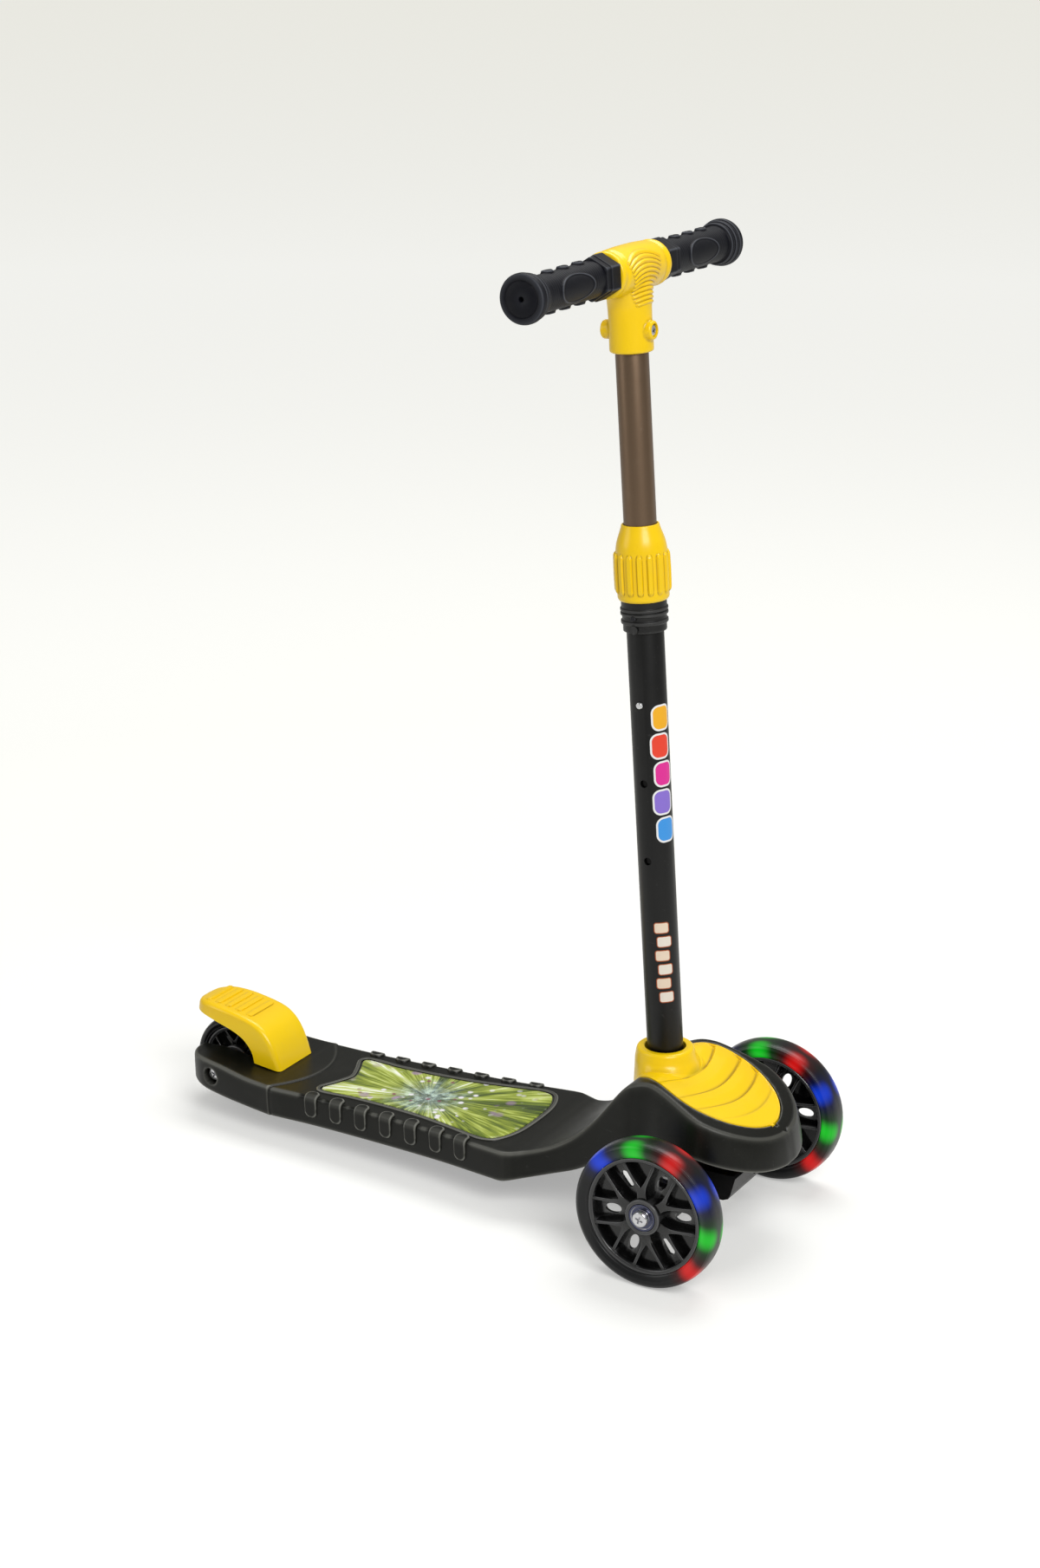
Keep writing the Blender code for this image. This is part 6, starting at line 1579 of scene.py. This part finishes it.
# part of the way from hub to rim and half width, both for a rim of 45.9
spokeSide = [(0.0, 4.2), (0.15, 3.6), (0.3, 4.4), (0.5, 7.3), (0.7, 10.9), (0.85, 13.5), (1.0, 15.6)]
spokeGap = [(1.0, 12.7), (0.85, 10.7), (0.7, 8.2), (0.5, 4.5), (0.38, 1.7), (0.33, 0.5)]
# tyre section: share of the depth under the tread, way in from the side, softening
tyreSide = ((0.45, 0.0, 3.4), (0.12, 2.2, 2.6), (0.0, 7.4, 4.0))


def turnedFlat(points, turn):
    # (u, v) turned by an angle: u cos a - v sin a, u sin a + v cos a
    u, v = points
    return np.stack([u * math.cos(turn) - v * math.sin(turn), u * math.sin(turn) + v * math.cos(turn)], 1)


def tyreGrid(size):
    # rounded tyre section with a fine moulding line near the tread and another near the rim
    shape, radius, half, depth = wheelShape, size["radius"], size["width"] / 2, size["depth"]
    bore, soft = size["rim"] + shape["tyreGap"], shape["grooveSoft"]
    wall = [(bore, half - 3, 0.5)]
    wall += [(radius - part * depth, half - way, bend) for part, way, bend in tyreSide]
    wall = [(r, -h, bend) for r, h, bend in wall] + wall[::-1]
    if size["groove"]:
        deep, wide = bore + size["groove"], shape["grooveHalf"]
        wall += [(bore, wide, soft), (deep, wide, soft), (deep, -wide, soft), (bore, -wide, soft)]
    wall = np.array(wall)
    r, h = finerLine(rounded(wall[:, :2], wall[:, 2], True, 7), shape["tyreStep"]).T
    deep, wide = shape["line"]
    places = (radius - shape["lineAt"][0], bore + shape["lineAt"][1])
    lines = sum(np.exp(-((r - place) / wide) ** 2) for place in places)
    h = h + np.sign(h) * deep * lines * (np.abs(h) > half - shape["lineFrom"])
    return turned(np.stack([r, h], 1), shape["tyreColumns"], "Y")


def spokePrism(size, turn, deep):
    # a Y whose two thin arms curve apart towards the rim
    shape = wheelShape
    root, rim = (size["hub"] + shape["seat"]) / 2, size["rim"] - 0.5 * size["rimWall"]
    line = [curveThrough(side, count) for side, count in zip((spokeSide, spokeGap), shape["spokePoints"])]
    line = np.concatenate(line)
    line = np.concatenate([line, line[::-1] * (1, -1)])
    flat = turnedFlat((root + line[:, 0] * (rim - root), line[:, 1] * rim / shape["spokeRim"]), turn)
    return settle(addBevel(prism(flat, -deep, deep, "XZ", toMetres), *shape["spokeBevel"]))


def corePiece(size):
    shape, half, rim = wheelShape, size["width"] / 2, size["rim"]
    inner, seat, bore = rim - size["rimWall"], shape["seat"], shape["bore"]
    face, shoulder = half - shape["rimFace"], half - shape["hubShoulder"]
    (slope, back), (thin, foot) = shape["rimBack"], shape["rimFoot"]
    sections = (
        ("core", [(inner, back - half), (inner + slope, -face), (rim, -face), (rim, face),
                  (inner + slope, face), (inner, half - back), (inner - thin, half - foot),
                  (inner - thin, foot - half)], shape["rimSoft"], 4, shape["coreColumns"]),
        ("web", [(seat + 1, -shape["web"]), (inner + 0.5, -shape["web"]), (inner + 0.5, shape["web"]),
                 (seat + 1, shape["web"])], shape["webSoft"], 1, shape["hubColumns"]),
        ("hub", [(seat, half - 0.5), (size["hub"], half - 0.5), (size["hub"], 0.5 - half), (seat, 0.5 - half),
                 (seat, -shoulder), (bore, -shoulder), (bore, shoulder), (seat, shoulder)],
         shape["hubSoft"], 5, shape["hubColumns"]),
    )
    core, web, hub = (
        turnedPiece(name, rounded(section, soft, True, steps), columns, "Y", place=toMetres, ring=True)
        for name, section, soft, steps, columns in sections
    )
    pitch = math.tau / shape["spokes"]
    turns = [math.radians(shape["phase"] + 360 / shape["spokes"] * k) for k in range(shape["spokes"])]
    # a window between each two Ys
    oval = np.linspace(0, math.tau, shape["windowPoints"], endpoint=False)
    middle, long, wide = (share * inner for share in shape["window"])
    window = (middle + long * np.cos(oval), wide * np.sin(oval))
    windows = [prism(turnedFlat(window, turn + pitch / 2), -4, 4, "XZ", toMetres) for turn in turns]
    combine(web, "DIFFERENCE", *windows)
    return combine(core, "UNION", hub, web, *(spokePrism(size, turn, half - back) for turn in turns))


def moveMesh(obj, centre, side):
    points = readItems(obj.data.vertices, "co", 3) * 1000 * (1, side, 1) + np.asarray(centre, float)
    obj.data.vertices.foreach_set("co", toRow(points).ravel())
    if side < 0:
        obj.data.flip_normals()
    obj.data.update()
    return obj


bearingShape = {
    # radius of the bright line and half its width, and of the shield's inner edge, each with a soft rim
    "line": 9.2, "lineHalf": (0.2, 0.3), "shieldFrom": (6.3, 6.5),
    # radii of the inner race, the shield and the outer race, and how far the shield is set back
    "radii": (4.2, 6.2, 6.4, 9.1, 9.3, 11.0), "setBack": 0.5, "soft": 0.25, "columns": 64,
}


def bearingPaint(centre):
    def paint(tree, coords, colour):
        # dark bluish shield with one thin bright line in it, told apart by the radius
        x, _, z = turnedCoords(tree, coords, drawingMatrix(*centre))
        r = lengthOf(tree, x, z)
        away = maths(tree, "ABSOLUTE", maths(tree, "SUBTRACT", r, bearingShape["line"]))
        outside = spanned(tree, r, *bearingShape["shieldFrom"])
        shield = maths(tree, "MULTIPLY", outside, spanned(tree, away, *bearingShape["lineHalf"]))
        return mixed(tree, shield, colour, finish["shield"])
    return paint


def bearingGrid(low, high):
    # outer race, shield set back, inner race, on both faces
    deepLow, deepHigh = low + bearingShape["setBack"], high - bearingShape["setBack"]
    radii = bearingShape["radii"]
    back = list(zip(radii, (low, low, deepLow, deepLow, low, low)))
    front = list(zip(radii, (high, high, deepHigh, deepHigh, high, high)))
    section = rounded(back + front[::-1], bearingShape["soft"], True, 3)
    return turned(section, bearingShape["columns"], "Y")


def makeWheel(size, core, centre, side, body, names, looks):
    # names: core, tyre, two bearings as (made, replaced); looks: tyre's material, its slot (not used) and
    # bearings' material
    half, (tyreMaterial, tyreSlot, metal) = size["width"] / 2, looks
    copy = core.copy()
    copy.data = core.data.copy()
    copy.name = names["core"][0]
    bpy.context.scene.collection.objects.link(copy)
    finishPiece(moveMesh(copy, centre, side), glossBlack, body, [names["core"][1]], 32)
    tyre = surface(names["tyre"][0], (toMetres(tyreGrid(size)), True, True))
    finishPiece(moveMesh(tyre, centre, side), tyreMaterial, body, [names["tyre"][1]], 50)
    far = half - wheelShape["bearingInset"]
    near = far - wheelShape["bearingWidth"]
    for name, low, high in zip(names["bearings"], (near, -far), (far, -near)):
        ring = surface(name + "Ring", (toMetres(bearingGrid(low, high)), True, True))
        finishPiece(moveMesh(ring, centre, side), metal, body, [name], 40)


def bearingSteel(hand, centre):
    return newMaterial("bearingSteel" + hand, finish["steel"], 0.2, 1.0, paint=bearingPaint(centre))


def makeWheels():
    size = wheelShape["front"]
    core = corePiece(size)
    for side, hand in ((1, "Left"), (-1, "Right")):
        low, centre = hand.lower(), (0, side * stance["halfTrack"], stance["hubHeight"])
        names = {
            "core": ("frontCore" + hand, "wheel_core_" + low), "tyre": ("frontTyre" + hand, "tyre_" + low),
            "bearings": ("bearing_outer_" + low, "bearing_inner_" + low),
        }
        looks = (tyreLit[side], "smoke_tyre", bearingSteel(hand, centre))
        makeWheel(size, core, centre, side, "front_wheel_" + low, names, looks)
    bpy.data.objects.remove(core)
    size = wheelShape["rear"]
    core = corePiece(size)
    names = {
        "core": ("rearCore", "rear_core"), "tyre": ("rearTyre", "rear_tyre"),
        "bearings": ("rear_bearing_left", "rear_bearing_right"),
    }
    looks = (smokeTyre, "black_tyre", bearingSteel("Rear", rearAxle))
    makeWheel(size, core, rearAxle, 1, "rear_wheel", names, looks)
    bpy.data.objects.remove(core)


crossShape = {
    # share of the head's radius and of its height at which the dome begins, and the softening of the corners
    "dome": (0.86, 0.1), "soft": (0, 0.9, 0.6, 0.2, 0.1, 0.5, 0), "columns": 64,
    # the cross: half length per head radius, half width, softening, depth per head and turns
    "long": 0.5, "half": 0.75, "recessSoft": 0.4, "deep": 0.55, "turns": (20, 110),
}


def crossedHead(name, radius, headRadius, head, start, end, axis, at, place):
    # bolt with a domed head and a cross recess; the head lies from start to start + head
    step = 1 if end > start else -1
    under, (inward, up) = start + step * head, crossShape["dome"]
    profile = rounded([
        (0, start), (headRadius * inward, start + step * up), (headRadius, start + step * head * 0.5),
        (headRadius, under), (radius, under), (radius, end), (0, end),
    ], crossShape["soft"])
    bolt = turnedPiece(name, profile, crossShape["columns"], axis, at, place)
    long, half, soft = headRadius * crossShape["long"], crossShape["half"], crossShape["recessSoft"]
    outline = rounded([(-long, -half), (long, -half), (long, half), (-long, half)], soft, True, 3)
    depths = sorted((start - step * 2, start + step * head * crossShape["deep"]))
    for degrees in crossShape["turns"]:
        def turnedPlace(points, degrees=degrees):
            return place(turnTo(spun(points, degrees), axis) + np.asarray(at, float))
        combine(bolt, "DIFFERENCE", prism(outline, *depths, "XY", turnedPlace))
    return bolt


hub, joint = (0, 0, stance["hubHeight"]), (0, 0, columnShape["bolt"])
# name, radius, head radius, head, start, end, axis, place on it and frame; then body, node and slot
bolts = (
    (("axleBoltleft", 4.0, 6.7, 4.2, 125.0, 79.6, "Y", hub, toRow),
     "steering_knuckle_left", "axle_bolt_left", "steel"),
    (("axleBoltright", 4.0, 6.7, 4.2, -125.0, -79.6, "Y", hub, toRow),
     "steering_knuckle_right", "axle_bolt_right", "steel"),
    (("rearBolt", 4.0, 6.7, 4.5, -41.3, 43.0, "Y", rearAxle, toRow), "chassis", "rear_axle_bolt", "steel"),
    (("jointBolt", 2.5, 4.6, 3.4, 19.2, -21.2, "X", joint, columnToRow), "stem", "t_bolt", "chrome"),
)
# bevel width in mm of the plain metal and nylon pieces underneath, which keep their shape
bevels = {
    0.15: ("snap_spring",), 0.2: ("collet_screw",),
    0.3: ("rod_pin_left", "rod_pin_right", "t_nut", "steer_pin", "brake_pin", "column_bolt", "column_nut",
          "tube_plug"),
    0.4: ("kingpin_left", "kingpin_right", "pivot_bolt", "pivot_nut", "rear_axle_nut", "pivot_bush"),
    0.6: ("knuckle_left", "knuckle_right", "tie_rod"), 1.0: ("truck_beam",),
}


makeWheels()
for shape, body, node, slot in bolts:
    finishPiece(crossedHead(*shape), steelBright, body, [node])
for width, names in bevels.items():
    for node in (nodes[name] for name in names):
        addBevel(node, width, 2, 32)
        node.data.shade_smooth()
        node.data.set_sharp_from_angle(angle=math.radians(40))
print("wheels ready")


# floor, light and camera
studio = {
    "floorSize": 60.0, "floorTone": (0.62, 0.62, 0.605),
    # r / (1 + r) at distance r from the scooter in metres, then the tone that the camera sees added there
    "paper": (
        (0.0, (0.36, 0.36, 0.36)), (0.25, (0.36, 0.36, 0.355)), (0.4, (0.37, 0.37, 0.355)),
        (0.55, (0.42, 0.42, 0.40)), (0.7, (0.54, 0.54, 0.52)), (0.82, (0.64, 0.64, 0.62)),
        (1.0, (0.58, 0.57, 0.51)),
    ),
    "glossyShare": 0.6, "worldTone": (1.0, 1.0, 0.95, 1.0), "worldStrength": 0.32, "worldSeen": 0.78,
    # name, place, target, size and power
    "lamps": (
        ("keySoftbox", (1.9, -1.4, 2.1), (0, 0, 0.3), (1.5, 1.2), 56),
        ("fillSoftbox", (-1.9, -1.7, 1.4), (0, 0, 0.35), (1.2, 1.6), 13),
        ("topSoftbox", (0.0, 0.9, 2.4), (0, 0, 0.3), (1.8, 1.2), 34),
    ),
    # degrees, drawing millimetres, and pixels for the focal length and the height of the photo
    "camera": {"turn": 30.526, "pitch": 18.331, "roll": -0.645, "place": (972.5, -1944.1, 1092.4),
               "focal": 3471.9, "photoHeight": 1809, "sensor": 36, "clipEnd": 200},
}


def makeFloor():
    half = studio["floorSize"]
    mesh = bpy.data.meshes.new("studioFloor")
    corners = [(-half, -half, 0), (half, -half, 0), (half, half, 0), (-half, half, 0)]
    mesh.from_pydata(corners, [], [(0, 1, 2, 3)])
    floor = bpy.data.objects.new("studioFloor", mesh)
    bpy.context.scene.collection.objects.link(floor)
    material = newMaterial("floorPaper", studio["floorTone"], 0.9, dust=0.0, scuff=0.0)
    tree = material.node_tree
    shader = tree.nodes["Principled BSDF"]
    r = addNode(tree, "VectorMath", {0: objectCoords(tree)}, operation="LENGTH").outputs["Value"]
    far = maths(tree, "DIVIDE", r, maths(tree, "ADD", r, 1.0))
    tree.links.new(toneRamp(tree, far, studio["paper"]), shader.inputs["Emission Color"])
    path = tree.nodes.new("ShaderNodeLightPath").outputs
    glossy = maths(tree, "MULTIPLY", path["Is Glossy Ray"], studio["glossyShare"])
    tree.links.new(maths(tree, "ADD", path["Is Camera Ray"], glossy), shader.inputs["Emission Strength"])
    mesh.materials.append(material)


def makeWorld():
    world = bpy.data.worlds.new("studioWorld")
    bpy.context.scene.world = world
    world.use_nodes = True
    tree = world.node_tree
    background = tree.nodes["Background"]
    path = tree.nodes.new("ShaderNodeLightPath").outputs
    seen = maths(tree, "MAXIMUM", path["Is Camera Ray"], path["Is Transmission Ray"])
    strength = spanned(tree, seen, 0.0, 1.0, studio["worldStrength"], studio["worldSeen"])
    tree.links.new(strength, background.inputs["Strength"])
    background.inputs["Color"].default_value = studio["worldTone"]


def makeLamp(name, place, target, size, power):
    lamp = bpy.data.lights.new(name, "AREA")
    lamp.shape, lamp.energy = "RECTANGLE", power
    lamp.size, lamp.size_y = size
    obj = bpy.data.objects.new(name, lamp)
    obj.location = place
    obj.rotation_mode = "QUATERNION"
    obj.rotation_quaternion = (Vector(target) - Vector(place)).to_track_quat("-Z", "Y")
    bpy.context.scene.collection.objects.link(obj)


def makeCamera():
    # solved from the photo in the drawing's frame, then tipped with the scooter
    solved = studio["camera"]
    turn, pitch, roll = (math.radians(solved[key]) for key in ("turn", "pitch", "roll"))
    forward = Vector((-math.sin(turn) * math.cos(pitch), math.cos(turn) * math.cos(pitch), -math.sin(pitch)))
    right = Vector((math.cos(turn), math.sin(turn), 0))
    up = right.cross(forward)
    right, up = (right * math.cos(roll) + up * math.sin(roll), up * math.cos(roll) - right * math.sin(roll))
    facing = Matrix((right, up, -forward)).transposed().to_4x4()
    data = bpy.data.cameras.new("photoCamera")
    data.lens = solved["focal"] * solved["sensor"] / solved["photoHeight"]
    data.sensor_width, data.clip_end = solved["sensor"], solved["clipEnd"]
    camera = bpy.data.objects.new("photoCamera", data)
    bpy.context.scene.collection.objects.link(camera)
    camera.matrix_world = drawingMatrix(*solved["place"]) @ facing
    bpy.context.scene.camera = camera


makeFloor()
makeWorld()
for lamp in studio["lamps"]:
    makeLamp(*lamp)
makeCamera()
bpy.context.scene.view_settings.view_transform = "Standard"
print("studio ready")
